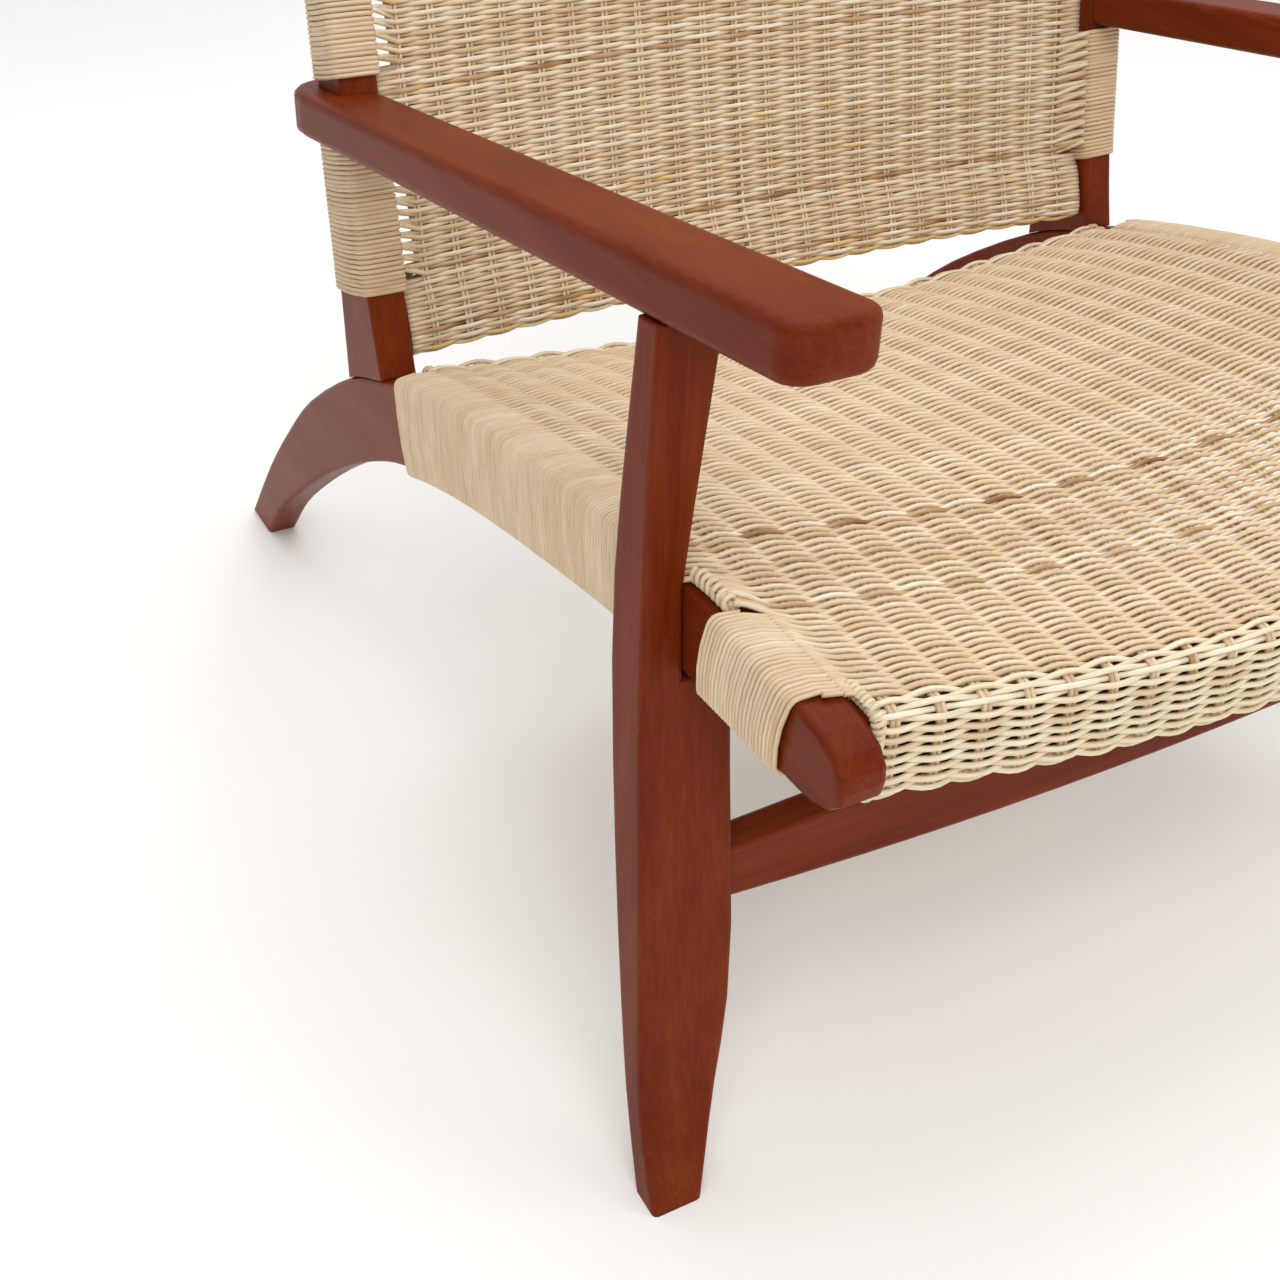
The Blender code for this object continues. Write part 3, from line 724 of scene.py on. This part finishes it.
# ---- woven sheets ----------------------------------------------------------------------
@dataclass
class Weave:
    """Plain weave of single wefts over pairs of warps, on a surface given by a profile.

    The profile is the sheet's section at each X, followed from one folded end to the
    other. Warps run along it, 25 mm apart. Weft i lies across it at its own place and
    stands off it by (-1)^i A cos(pi (x - x0) / spacing): out over one pair, in under the
    next. Past the outermost pair it runs to its end in an S, or straight where it is taut.
    """
    half: float = .2812
    ribs: int = 22
    spacing: float = .0257
    samples: int = 5
    swing: float = .0024
    edge_samples: int = 5
    taut: bool = False
    jitter: float = .00012
    pair: float = .00145
    seed: int = 5

    @property
    def rib_x(self) -> Array:
        """X of each warp pair's middle."""
        return (np.arange(self.ribs) - (self.ribs - 1) / 2) * self.spacing

    def inner_x(self) -> Array:
        """Sample places between the two outermost warp pairs."""
        last = self.rib_x[-1]
        return np.linspace(-last, last, (self.ribs - 1) * self.samples + 1)

    def wefts(self, profile: Callable[[Array], Array], at: Array, order: Array,
              ends: Array, swing_end: Array) -> tuple[Array, Array]:
        """Centre lines of wefts.

        Args:
            profile: gives the section's points, (xs, points, 3), for an array of X.
            at: each weft's place as an index along the profile.
            order: running number of each weft, whose evenness gives its side.
            ends: (wefts, 3) point where each weft ends on the left, mirrored on the right.
            swing_end: (wefts, 1, 1) share of the swing left at the ends.
        Returns:
            Paths (wefts, samples, 3) and the outward direction at each sample.
        """
        rng = np.random.default_rng(self.seed + int(order[0]))
        inner = self.inner_x()
        section = profile(inner)
        centre = rows_at(section.swapaxes(0, 1), at)
        run = unit(rows_at(np.gradient(section, axis=1).swapaxes(0, 1), at))
        out = unit(np.cross(run, np.array([1.0, 0, 0])))
        sign = np.where(order % 2 == 0, 1.0, -1.0)[:, None, None]
        wave = np.cos(math.pi * (inner - self.rib_x[0]) / self.spacing)[None, :, None]
        size = self.swing * (1 + rng.normal(0, .04, (len(at), 1, 1)))
        drift = rng.normal(0, self.jitter, (len(at), 12))
        knots = np.linspace(inner[0], inner[-1], 12)
        drift = np.stack([np.interp(inner, knots, d) for d in drift])
        body = centre + sign * size * wave * out + drift[:, :, None] * run
        t = np.linspace(0, 1, self.edge_samples + 1)[1:][None, :, None]
        e = t if self.taut else ease(t)
        fade = 1 - e * (1 - swing_end)
        pieces, normals = [body], [out]
        for mirror, first in ((1.0, 0), (-1.0, -1)):
            start = centre[:, first][:, None]
            target = (ends * np.array([mirror, 1, 1]))[:, None]
            x = start[..., :1] + (target[..., :1] - start[..., :1]) * t
            rest = start[..., 1:] + (target[..., 1:] - start[..., 1:]) * e
            end_wave = np.cos(math.pi * np.abs(x - start[..., :1]) / self.spacing)
            n0 = out[:, first][:, None]
            stand = sign * wave[:, first][:, None] * size * end_wave * fade * n0
            edge = np.concatenate([x, rest], 2) + stand
            n = np.broadcast_to(n0, edge.shape)
            where = 0 if first == 0 else len(pieces)
            pieces.insert(where, edge[:, ::-1] if first == 0 else edge)
            normals.insert(where, n)
        return np.concatenate(pieces, 1), np.concatenate(normals, 1)

    def warps(self, profile: Callable[[Array], Array], first: int, last: int
              ) -> tuple[Array, Array]:
        """Centre lines of the warp pairs, lying in the sheet's middle.

        Args:
            profile: gives the section's points, (xs, points, 3), for an array of X.
            first, last: indices of the profile between which they run.
        Returns:
            Paths (warps, samples, 3) and the outward direction at each sample.
        """
        x = np.sort(np.concatenate([self.rib_x - self.pair, self.rib_x + self.pair]))
        section = profile(x)
        out = unit(np.cross(np.gradient(section, axis=1), np.array([1.0, 0, 0])))
        return section[:, first:last:3], out[:, first:last:3]


def edge_coil(path: Array, radius: float, pitch: float) -> Array:
    """Strand wound in a helix about a path.

    The point at angle a is path + radius (cos a * n + sin a * b), with a growing by one
    turn for each pitch of length along the path.

    Args:
        path: (points, 3) axis.
        radius: radius of the helix.
        pitch: length of the path in each turn.
    Returns:
        (samples, 3) points of the strand, twelve a turn.
    """
    length = lengths_along(path)
    n = max(8, int(length[-1] / pitch * 12))
    s = np.linspace(0, length[-1], n)
    centre = np.stack([np.interp(s, length, path[:, i]) for i in range(3)], 1)
    t = unit(np.gradient(centre, axis=0))
    normal = unit(np.cross(t, np.array([1.0, .02, .03])))
    side = np.cross(t, normal)
    a = (s / pitch * 2 * math.pi)[:, None]
    return centre + radius * (np.cos(a) * normal + np.sin(a) * side)


@dataclass
class Seat:
    """Woven seat: sheet, folds round its two rails, windings on the side rails and the
    bundles that close it beside the legs."""
    material: bpy.types.Material
    # Finish of the front fold: partly a paler, greyer strand tone, partly painted light on the
    # fold's front face.
    pale: bpy.types.Material
    pitch: float = .00295
    front_pitch: float = .00292
    strand: float = .00143
    front_strand: float = .00152
    warp: float = .00140
    front_height: float = .041
    rear_height: float = .030
    corner: float = .0065
    sunk: float = .0063
    nose_y: float = -.4140
    fan_y: float = -.3280
    bundle_y: float = -.3545
    inner_x: float = -.2860
    rear_plan: TurnPlan = field(default_factory=lambda: TurnPlan(
        -.270, .0495, .00292, .0, 11, .03))
    front_plan: TurnPlan = field(default_factory=lambda: TurnPlan(
        -.3975, -.3270, .00286, .22, 12, .04))

    def __post_init__(self) -> None:
        """Work out the weave and the profile's fixed part."""
        self.weave = Weave()
        self.rear_winding = RailWinding("rail_wrap_rear", self.rear_plan, self.material)
        self.front_winding = RailWinding("rail_wrap_front", self.front_plan, self.material,
                                         .00136, lean=.007, drift=(.004, .010))
        self.flat_y, self.flat_z, self.kind = self.section_points()

    def section_points(self) -> tuple[Array, Array, Array]:
        """Section from under the rear rail, over the seat, to behind the front rail.

        Returns:
            y, height above its reference and reference of each point: 0 the rear rail's
            top, 1 the seat's middle surface, 2 the front rail's top.
        """
        d, up, r = .0037, .0033, self.corner
        q = np.linspace(0, math.pi / 2, 9)
        c, s = r * np.cos(q), r * np.sin(q)
        ry0, ry1 = REAR_RAIL_Y[0] - d, REAR_RAIL_Y[1] + d
        fy0, fy1 = FRONT_RAIL_Y[0] - d, FRONT_RAIL_Y[1] + d
        low, flow = -self.rear_height - d, -self.front_height - d
        parts = [
            (np.full(20, ry0), np.linspace(-self.rear_height * .45, low + r, 20), 0),
            (ry0 + r - c, low + r - s, 0),
            (ry1 - r + s, low + r - c, 0),
            (np.full(12, ry1), np.linspace(low + r, up - r, 14)[1:-1], 0),
            (ry1 - r + c, up - r + s, 0),
            (np.linspace(ry1 - r, fy0 + r, 260)[1:-1], np.zeros(258), 1),
            (fy0 + r - s, up - r + c, 2),
            (np.full(16, fy0), np.linspace(up - r, flow + r, 18)[1:-1], 2),
            (fy0 + r - c, flow + r - s, 2),
            (fy1 - r + s, flow + r - c, 2),
            (np.full(14, fy1), np.linspace(flow + r, -self.front_height * .35, 16)[1:-1], 2)]
        kind = np.concatenate([np.full(len(y), which) for y, _, which in parts])
        return (np.concatenate([p[0] for p in parts]), np.concatenate([p[1] for p in parts]),
                kind)

    def profile(self, xs: Array) -> Array:
        """Section at each X: the reference heights sag with X.

        Args:
            xs: places across the seat.
        Returns:
            (xs, points, 3) points.
        """
        x = xs[:, None]
        y = np.broadcast_to(self.flat_y, (len(xs), len(self.flat_y)))
        rear = seat_height(x, np.full_like(y, sum(REAR_RAIL_Y) / 2)) - self.sunk
        front = seat_height(x, np.full_like(y, sum(FRONT_RAIL_Y) / 2)) - self.sunk
        middle = seat_height(x, y) - STRAND
        reference = np.where(self.kind == 0, rear, np.where(self.kind == 1, middle, front))
        return np.stack([np.broadcast_to(x, y.shape), y, reference + self.flat_z], -1)

    def rows(self) -> dict[str, Array]:
        """Lay out every weft, from the rear fold to the front one.

        The groups are 0 the rear fold, 1 the turns of the rear windings carried across, 2 the
        fan and 3 the bundle beside the legs, 4 the turns of the front windings and 5 the
        front fold.

        Returns:
            Arrays by name: "index" is the place along the profile, "ends" the end point on
            the left, "keep" the share of swing left there, and "tone", "group", "order".
        """
        rng = np.random.default_rng(3)
        length = lengths_along(self.profile(np.array([.20]))[0])
        count = np.arange(len(length))
        top = np.flatnonzero(self.kind == 1)

        def index_at(y: Array) -> Array:
            """Place along the profile of a Y on the seat's top."""
            return np.interp(-y, -self.flat_y[top], top.astype(float))
        wrap_y, front_y = self.rear_winding.top_y()[::-1], self.front_winding.top_y()[::-1]
        start, nose = np.interp(index_at(np.array([wrap_y[0], self.nose_y])), count, length)
        rear = np.arange(start - self.pitch, 0, -self.pitch)[::-1]
        front = np.arange(nose + .0028, length[-1], self.front_pitch)
        fan = np.arange(wrap_y[-1] - .0029, self.fan_y, -.0029)
        bundle = np.arange(fan[-1] - .0028, self.bundle_y, -.0028)
        close = np.linspace(bundle[-1] - .0025, self.nose_y, len(front_y))
        index = np.concatenate([np.interp(rear, length, count),
                                *(index_at(y) for y in (wrap_y, fan, bundle, close)),
                                np.interp(front, length, count)])
        group = np.repeat(np.arange(6), [len(part) for part in (rear, wrap_y, fan, bundle,
                                                                close, front)])
        tone = strand_tones(rng, len(index))
        tone[group == 1] = self.rear_plan.tones()[::-1]
        tone[group == 4] = self.front_plan.tones()[::-1]
        ends = rows_at(self.profile(np.array([-self.weave.half]))[0], index)
        spread = np.linspace(wrap_y[-1] - .0026, -.3190, len(fan))
        beside = spread > -.3040
        layer = np.where(beside, np.where(np.arange(len(fan)) % 2, .0021, 0.0), .0024)
        gather = np.linspace(-.3215, -.3345, len(bundle))
        stack = rng.permutation(np.linspace(.0002, .0050, len(bundle)))
        for which, x, y, rise in ((1, self.inner_x, wrap_y, 0.0),
                                  (2, np.where(beside, -.3072, -.2985), spread, layer),
                                  (3, -.2975, gather, stack),
                                  (4, self.inner_x, front_y, 0.0)):
            z = along(RAIL_TOP, np.maximum(y, RAIL_TOP[0][0])) + self.rear_winding.out + rise
            ends[group == which] = np.stack([np.broadcast_to(x, y.shape), y, z], 1)
        keep = np.array([.5, 0, 0, 0, 0, .5])[group]
        return {"index": index, "ends": ends, "keep": keep, "tone": tone, "group": group,
                "order": np.arange(len(index))}

    def lay_wefts(self, name: str, mask: Array, rows: dict[str, Array], radius: float, node: str,
                  coils: Sequence[Array] = (), material: bpy.types.Material | None = None
                  ) -> None:
        """Make one piece of the wefts picked by a mask, with any coils at its edges.

        Args:
            name: the piece's name.
            mask: which of the rows to take.
            rows: what rows() gives.
            radius: strand radius.
            node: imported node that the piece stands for.
            coils: extra strands, (points, 3) each.
            material: finish, if not the seat's own.
        """
        strands = StrandMesh(name, material or self.material)
        paths, out = self.weave.wefts(self.profile, rows["index"][mask], rows["order"][mask],
                                      rows["ends"][mask], rows["keep"][mask][:, None, None])
        strands.add(paths, radius, rows["tone"][mask], out, 1.04)
        rng = np.random.default_rng(int(rows["order"][mask][0]))
        for coil in coils:
            strands.add(coil[None], .0014, float(rng.uniform(.3, .45)), (.3, .2, 1.0))
        strands.build(node)

    def corner_coils(self, first_y: float, front: bool) -> list[Array]:
        """Coils that bind the sheet's open edge from the end of a winding round a rail.

        Args:
            first_y: where the coil starts on the top.
            front: True for the front rail, False for the rear one.
        Returns:
            Left and right coils.
        """
        edge = self.profile(np.array([-.2788]))[0]
        top = self.kind == 1
        if front:
            axis = edge[np.flatnonzero(top & (edge[:, 1] < first_y))[0]:]
        else:
            axis = edge[:np.flatnonzero(top & (edge[:, 1] > first_y))[-1]]
        coil = edge_coil(axis, .0025, .0031)
        return [coil, coil * np.array([-1, 1, 1])]

    def leg_ties(self) -> None:
        """Rope of strand wound over the gathered bundle beside each front leg."""
        t = np.linspace(0, 1, 12)
        y = np.linspace(-.3030, -.3345, 12)
        rise = .0042 + .0010 * np.sin(math.pi * t)
        axis = np.stack([-.2990 + .0012 * t, y, along(RAIL_TOP, y) + rise], 1)
        for side in Side:
            strands = StrandMesh("corner_tie_%s" % side.label, self.material, 8)
            flip = np.array([-side.value, 1, 1])
            for path, tone in ((edge_coil(axis, .0034, .0046), .6),
                               (edge_coil(axis, .0021, .0120), .45), (axis, .35)):
                strands.add((path * flip)[None], .0015, tone, (.4, 0, 1.0))
            strands.build(strands.name)

    def build(self) -> None:
        """Make every woven piece of the seat."""
        for side in Side:
            self.rear_winding.build(side)
            self.front_winding.build(side)
        rows = self.rows()
        group, order = rows["group"], rows["order"]
        split = np.flatnonzero(group == 1)[len(self.rear_plan.stations()) * 3 // 4]
        sheet = (group >= 1) & (group <= 4)
        self.lay_wefts("seat_rear_edge", group == 0, rows, self.strand, "seat_rear_fold",
                       self.corner_coils(.060, False))
        self.lay_wefts("seat_weft_rear", sheet & (order < split), rows, self.strand, "seat_weave")
        self.lay_wefts("seat_weft_front", sheet & (order >= split), rows, self.strand,
                       "seat_weave")
        self.lay_wefts("seat_apron", group == 5, rows, self.front_strand, "seat_front_fold",
                       self.corner_coils(-.402, True), self.pale)
        warps = StrandMesh("seat_warp_pairs", self.material)
        paths, out = self.weave.warps(self.profile, 2, len(self.flat_y) - 1)
        # Painted shade: the warp pairs are drawn a fifth darker in tone, where they show in the
        # shaded gaps under the wefts.
        tones = strand_tones(np.random.default_rng(9), len(paths)) * .8
        warps.add(paths, self.warp, tones, out)
        warps.build("seat_weave")
        self.leg_ties()


@dataclass
class Back:
    """Woven back: two layers of sheet, folds round its two rails and the windings on the
    posts."""
    material: bpy.types.Material
    pitch: float = .00285
    strand: float = .00143
    warp: float = .00128
    bottom: tuple[float, float] = (.3115, .3415)
    top: tuple[float, float] = (.7010, .7310)
    apart: float = .0044
    bunch: float = .0071
    post_lift: float = .0078
    lower_plan: TurnPlan = field(default_factory=lambda: TurnPlan(.3535, .4465, .00290, .30, 31))
    upper_plan: TurnPlan = field(default_factory=lambda: TurnPlan(.4855, .6915, .00290, .30, 32))

    def __post_init__(self) -> None:
        """Work out the weave and the section that it follows, from the lap in the middle of
        the rear layer, down round the bottom rail, up, round the top rail and down again."""
        self.weave = Weave(spacing=.0250, swing=.0016, taut=True, seed=50)
        f = self.apart
        rise = np.linspace(self.bottom[1] + .022, self.top[0] - .022, 12)
        lap = (rise[5] + rise[6]) / 2
        line = smooth_line([(f, lap - .0001), *((f, z) for z in rise[5::-1]),
                            *self.fold(self.bottom[1], self.bottom[0], 1),
                            *((-f, z) for z in rise),
                            *self.fold(self.top[0], self.top[1], -1),
                            *((f, z) for z in rise[:5:-1]), (f, lap + .0001)], 12)
        step = lengths_along(line)
        self.length = np.linspace(0, step[-1], int(step[-1] / .0022))
        self.flat = np.stack([np.interp(self.length, step, line[:, i]) for i in range(2)], 1)

    def fold(self, near: float, far: float, way: int) -> list[tuple[float, float]]:
        """Section of the fold round a back rail.

        Args:
            near: height of the rail's edge on the sheet's side.
            far: height of its other edge.
            way: 1 for the bottom rail, passed from rear to front, -1 for the top one.
        Returns:
            (depth, height) points.
        """
        d, f = .0107, self.apart
        half = [(f + .0022, near + .008 * way), (d, near - .003 * way), (d, far + .004 * way),
                (d - .004, far - .003 * way)]
        return [*((way * v, z) for v, z in half), (0, far - .004 * way),
                *((-way * v, z) for v, z in half[::-1])]

    def profile(self, xs: Array) -> Array:
        """Section at each X: its depth plus the back's own curve.

        Args:
            xs: places across the back.
        Returns:
            (xs, points, 3) points.
        """
        x = xs[:, None]
        v, z = (np.broadcast_to(self.flat[:, i], (len(xs), len(self.flat))) for i in (0, 1))
        return np.stack([np.broadcast_to(x, z.shape), back_depth(x, z) + v, z], -1)

    def ends(self, index: Array) -> Array:
        """Where each weft ends on the left. Beside the wound lengths of the post the front
        wefts gather in bunches 7.1 mm apart at its front corner, which leaves small
        triangular openings; the rear ones turn in round the outermost warps.

        Args:
            index: each weft's place as an index along the section.
        Returns:
            (wefts, 3) end points.
        """
        v, z = rows_at(self.flat, index).T
        plans = (self.lower_plan, self.upper_plan)
        wound = np.any([(z > p.start - .001) & (z < p.end - .010) for p in plans], axis=0)
        gathers = (v < 0) & wound
        behind = (v > 0) & (np.abs(v - self.apart) < .0005)
        middle = (np.floor(z / self.bunch) + .5) * self.bunch
        bunched = middle + (z - middle) * .14 + self.post_lift
        depth = np.where(behind, .0150, np.where(gathers, .0030, BACK_SET + v))
        x = np.where(behind, -.2655, -self.weave.half)
        return np.stack([x, along(POST_FRONT, z) + depth, np.where(gathers, bunched, z)], 1)

    def build(self) -> None:
        """Make every woven piece of the back."""
        for side in Side:
            PostWinding("post_wrap_lower", self.lower_plan, self.material).build(side)
            PostWinding("post_wrap_upper", self.upper_plan, self.material).build(side)
        places = np.arange(.0014, self.length[-1] - .0008, self.pitch)
        index = np.interp(places, self.length, np.arange(len(self.length)))
        order = np.arange(len(index))
        # Painted light: the back's strands are drawn .06 lighter in tone than the same straw on
        # the seat.
        tones = strand_tones(np.random.default_rng(8), len(index)) + .06
        v, z = rows_at(self.flat, index).T
        low, high = z < self.bottom[1] + .010, z > self.top[0] - .010
        ends = self.ends(index)
        for name, mask, node in (("back_bottom_edge", low, "back_bottom_fold"),
                                 ("back_weft_front", ~low & ~high & (v < 0), "back_weave"),
                                 ("back_weft_rear", ~low & ~high & (v >= 0), "back_weave"),
                                 ("back_top_edge", high, "back_top_fold")):
            strands = StrandMesh(name, self.material)
            paths, out = self.weave.wefts(self.profile, index[mask], order[mask], ends[mask],
                                          np.full((int(mask.sum()), 1, 1), .15))
            strands.add(paths, self.strand, tones[mask], out, 1.18)
            strands.build(node)
        warps = StrandMesh("back_warp_pairs", self.material)
        paths, out = self.weave.warps(self.profile, 1, len(self.flat) - 1)
        warps.add(paths, self.warp, strand_tones(np.random.default_rng(19), len(paths)), out)
        warps.build("back_weave")


# ---- the wooden frame --------------------------------------------------------------------
@dataclass
class Joinery:
    """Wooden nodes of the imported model, which keep their shape and get the stained finish."""
    nodes: dict[str, bpy.types.Object]

    def grain_of(self, name: str) -> Grain:
        """Fibre direction of a node, from how the part is sawn.

        Args:
            name: the node's name.
        Returns:
            The axis that its fibres run along.
        """
        if name.startswith(("front_leg", "back_post")):
            return Grain.ALONG_Z
        if name.startswith(("side_rail", "arm_left", "arm_right")):
            return Grain.ALONG_Y
        return Grain.ALONG_X

    def dress(self) -> None:
        """Give each wooden node its finish by its material slots."""
        finishes = {grain: StainedHardwood("stained_hardwood_" + piece, grain).build()
                    for grain, piece in zip(Grain, ("rail", "board", "upright"))}
        pin = StainedHardwood("raw_beech_dowel", Grain.ALONG_X, "#C79A66", "#BD8E5B", "#A97A49",
                              "#8A5F36").build()
        woven = ("rail_wrap", "post_wrap", "seat_weave", "seat_front_fold", "seat_rear_fold",
                 "back_weave", "back_bottom_fold", "back_top_fold", "corner_tie")
        for name, node in self.nodes.items():
            if name.startswith(woven):
                continue
            finish = pin if "dowel" in name else finishes[self.grain_of(name)]
            for slot in node.material_slots:
                slot.material = finish
            log.info("%s: %s", name, finish.name)


# ---- studio ---------------------------------------------------------------------------------
@dataclass
class Studio:
    """Pale floor, soft lights and the camera."""
    sweep: float = 14.0
    cells: int = 8

    def floor(self) -> None:
        """Flat paper sheet: a grid of cells at height 0, level with the feet."""
        n = self.cells + 1
        g = np.linspace(-self.sweep / 2, self.sweep / 2, n)
        x, y = np.meshgrid(g, g)
        points = np.stack([x, y, np.zeros_like(x)], -1).reshape(-1, 3)
        i = (np.arange(n - 1)[:, None] * n + np.arange(n - 1)[None]).reshape(-1)
        faces = np.stack([i, i + 1, i + n + 1, i + n], 1)
        mesh = bpy.data.meshes.new("paper_floor")
        mesh.from_pydata(points.tolist(), [], faces.tolist())
        mesh.materials.append(StudioPaper().build())
        floor = bpy.data.objects.new("paper_floor", mesh)
        bpy.context.scene.collection.objects.link(floor)

    def light(self, name: str, place: tuple[float, float, float], aim: tuple[float, float, float],
              size: float, power: float, tint: str) -> None:
        """Square soft light that looks from a place at a point.

        Args:
            name: its name.
            place, aim: where it stands and what it looks at.
            size: side of the square, in metres.
            power: power in watts.
            tint: sRGB hex code of its light.
        """
        data = bpy.data.lights.new(name, "AREA")
        data.shape, data.size, data.energy = "SQUARE", size, power
        data.color = colour(tint)[:3]
        lamp = bpy.data.objects.new(name, data)
        back = unit(np.array(place) - np.array(aim))
        right = unit(np.cross([0, 0, 1], back))
        rows = np.column_stack([right, np.cross(back, right), back, place])
        lamp.matrix_world = Matrix([*rows.tolist(), [0, 0, 0, 1]])
        bpy.context.scene.collection.objects.link(lamp)

    def camera(self) -> None:
        """Camera at 1.4 m, above the left front corner, looking down at the seat."""
        data = bpy.data.cameras.new("camera")
        data.lens, data.sensor_width = 49.364, 36.0
        camera = bpy.data.objects.new("camera", data)
        camera.matrix_world = Matrix([[.87965, .26039, -.39801, -.65968],
                                      [-.47467, .53340, -.70013, -.88604],
                                      [.02999, .80479, .59280, .84867], [0, 0, 0, 1]])
        bpy.context.scene.collection.objects.link(camera)
        bpy.context.scene.camera = camera

    def build(self) -> None:
        """Set the floor, the lights, the white surroundings and the camera."""
        self.floor()
        for lamp in (("key_softbox", (-1.1, -2.1, 2.7), (0, -.1, .35), 2.2, 50, "#FFFDFA"),
                     ("fill_softbox", (2.2, -1.6, 1.8), (0, 0, .35), 2.4, 22, "#FFFFFF"),
                     ("top_softbox", (.2, .6, 2.8), (0, 0, .3), 2.6, 41, "#FFFFFF")):
            self.light(*lamp)
        world = bpy.data.worlds.new("white_surround")
        world.use_nodes = True
        backdrop = world.node_tree.nodes["Background"]
        backdrop.inputs["Color"].default_value = colour("#FFFFFF")
        backdrop.inputs["Strength"].default_value = .60
        bpy.context.scene.world = world
        bpy.context.scene.view_settings.view_transform = "Standard"
        self.camera()


def main() -> None:
    """Build the chair and the studio, in order."""
    logging.basicConfig(level=logging.INFO, format="%(message)s")
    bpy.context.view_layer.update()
    Joinery(frame["nodes"]).dress()
    straw = RattanCore("natural_rattan_core").build()
    # Front fold straw: partly a paler, greyer strand tone, partly brightened as painted light on
    # its front face.
    pale = RattanCore("pale_rattan_core", (
        (0.0, "#9A7A52"), (.06, "#B89C76"), (.16, "#CDB894"), (.45, "#DBCAAA"), (.72, "#E3D6BC"),
        (.90, "#E8DFCA"), (1.0, "#DCC290")), "#A48C68").build()
    Seat(straw, pale).build()
    Back(straw).build()
    Studio().build()


if __name__ == "__main__":
    main()
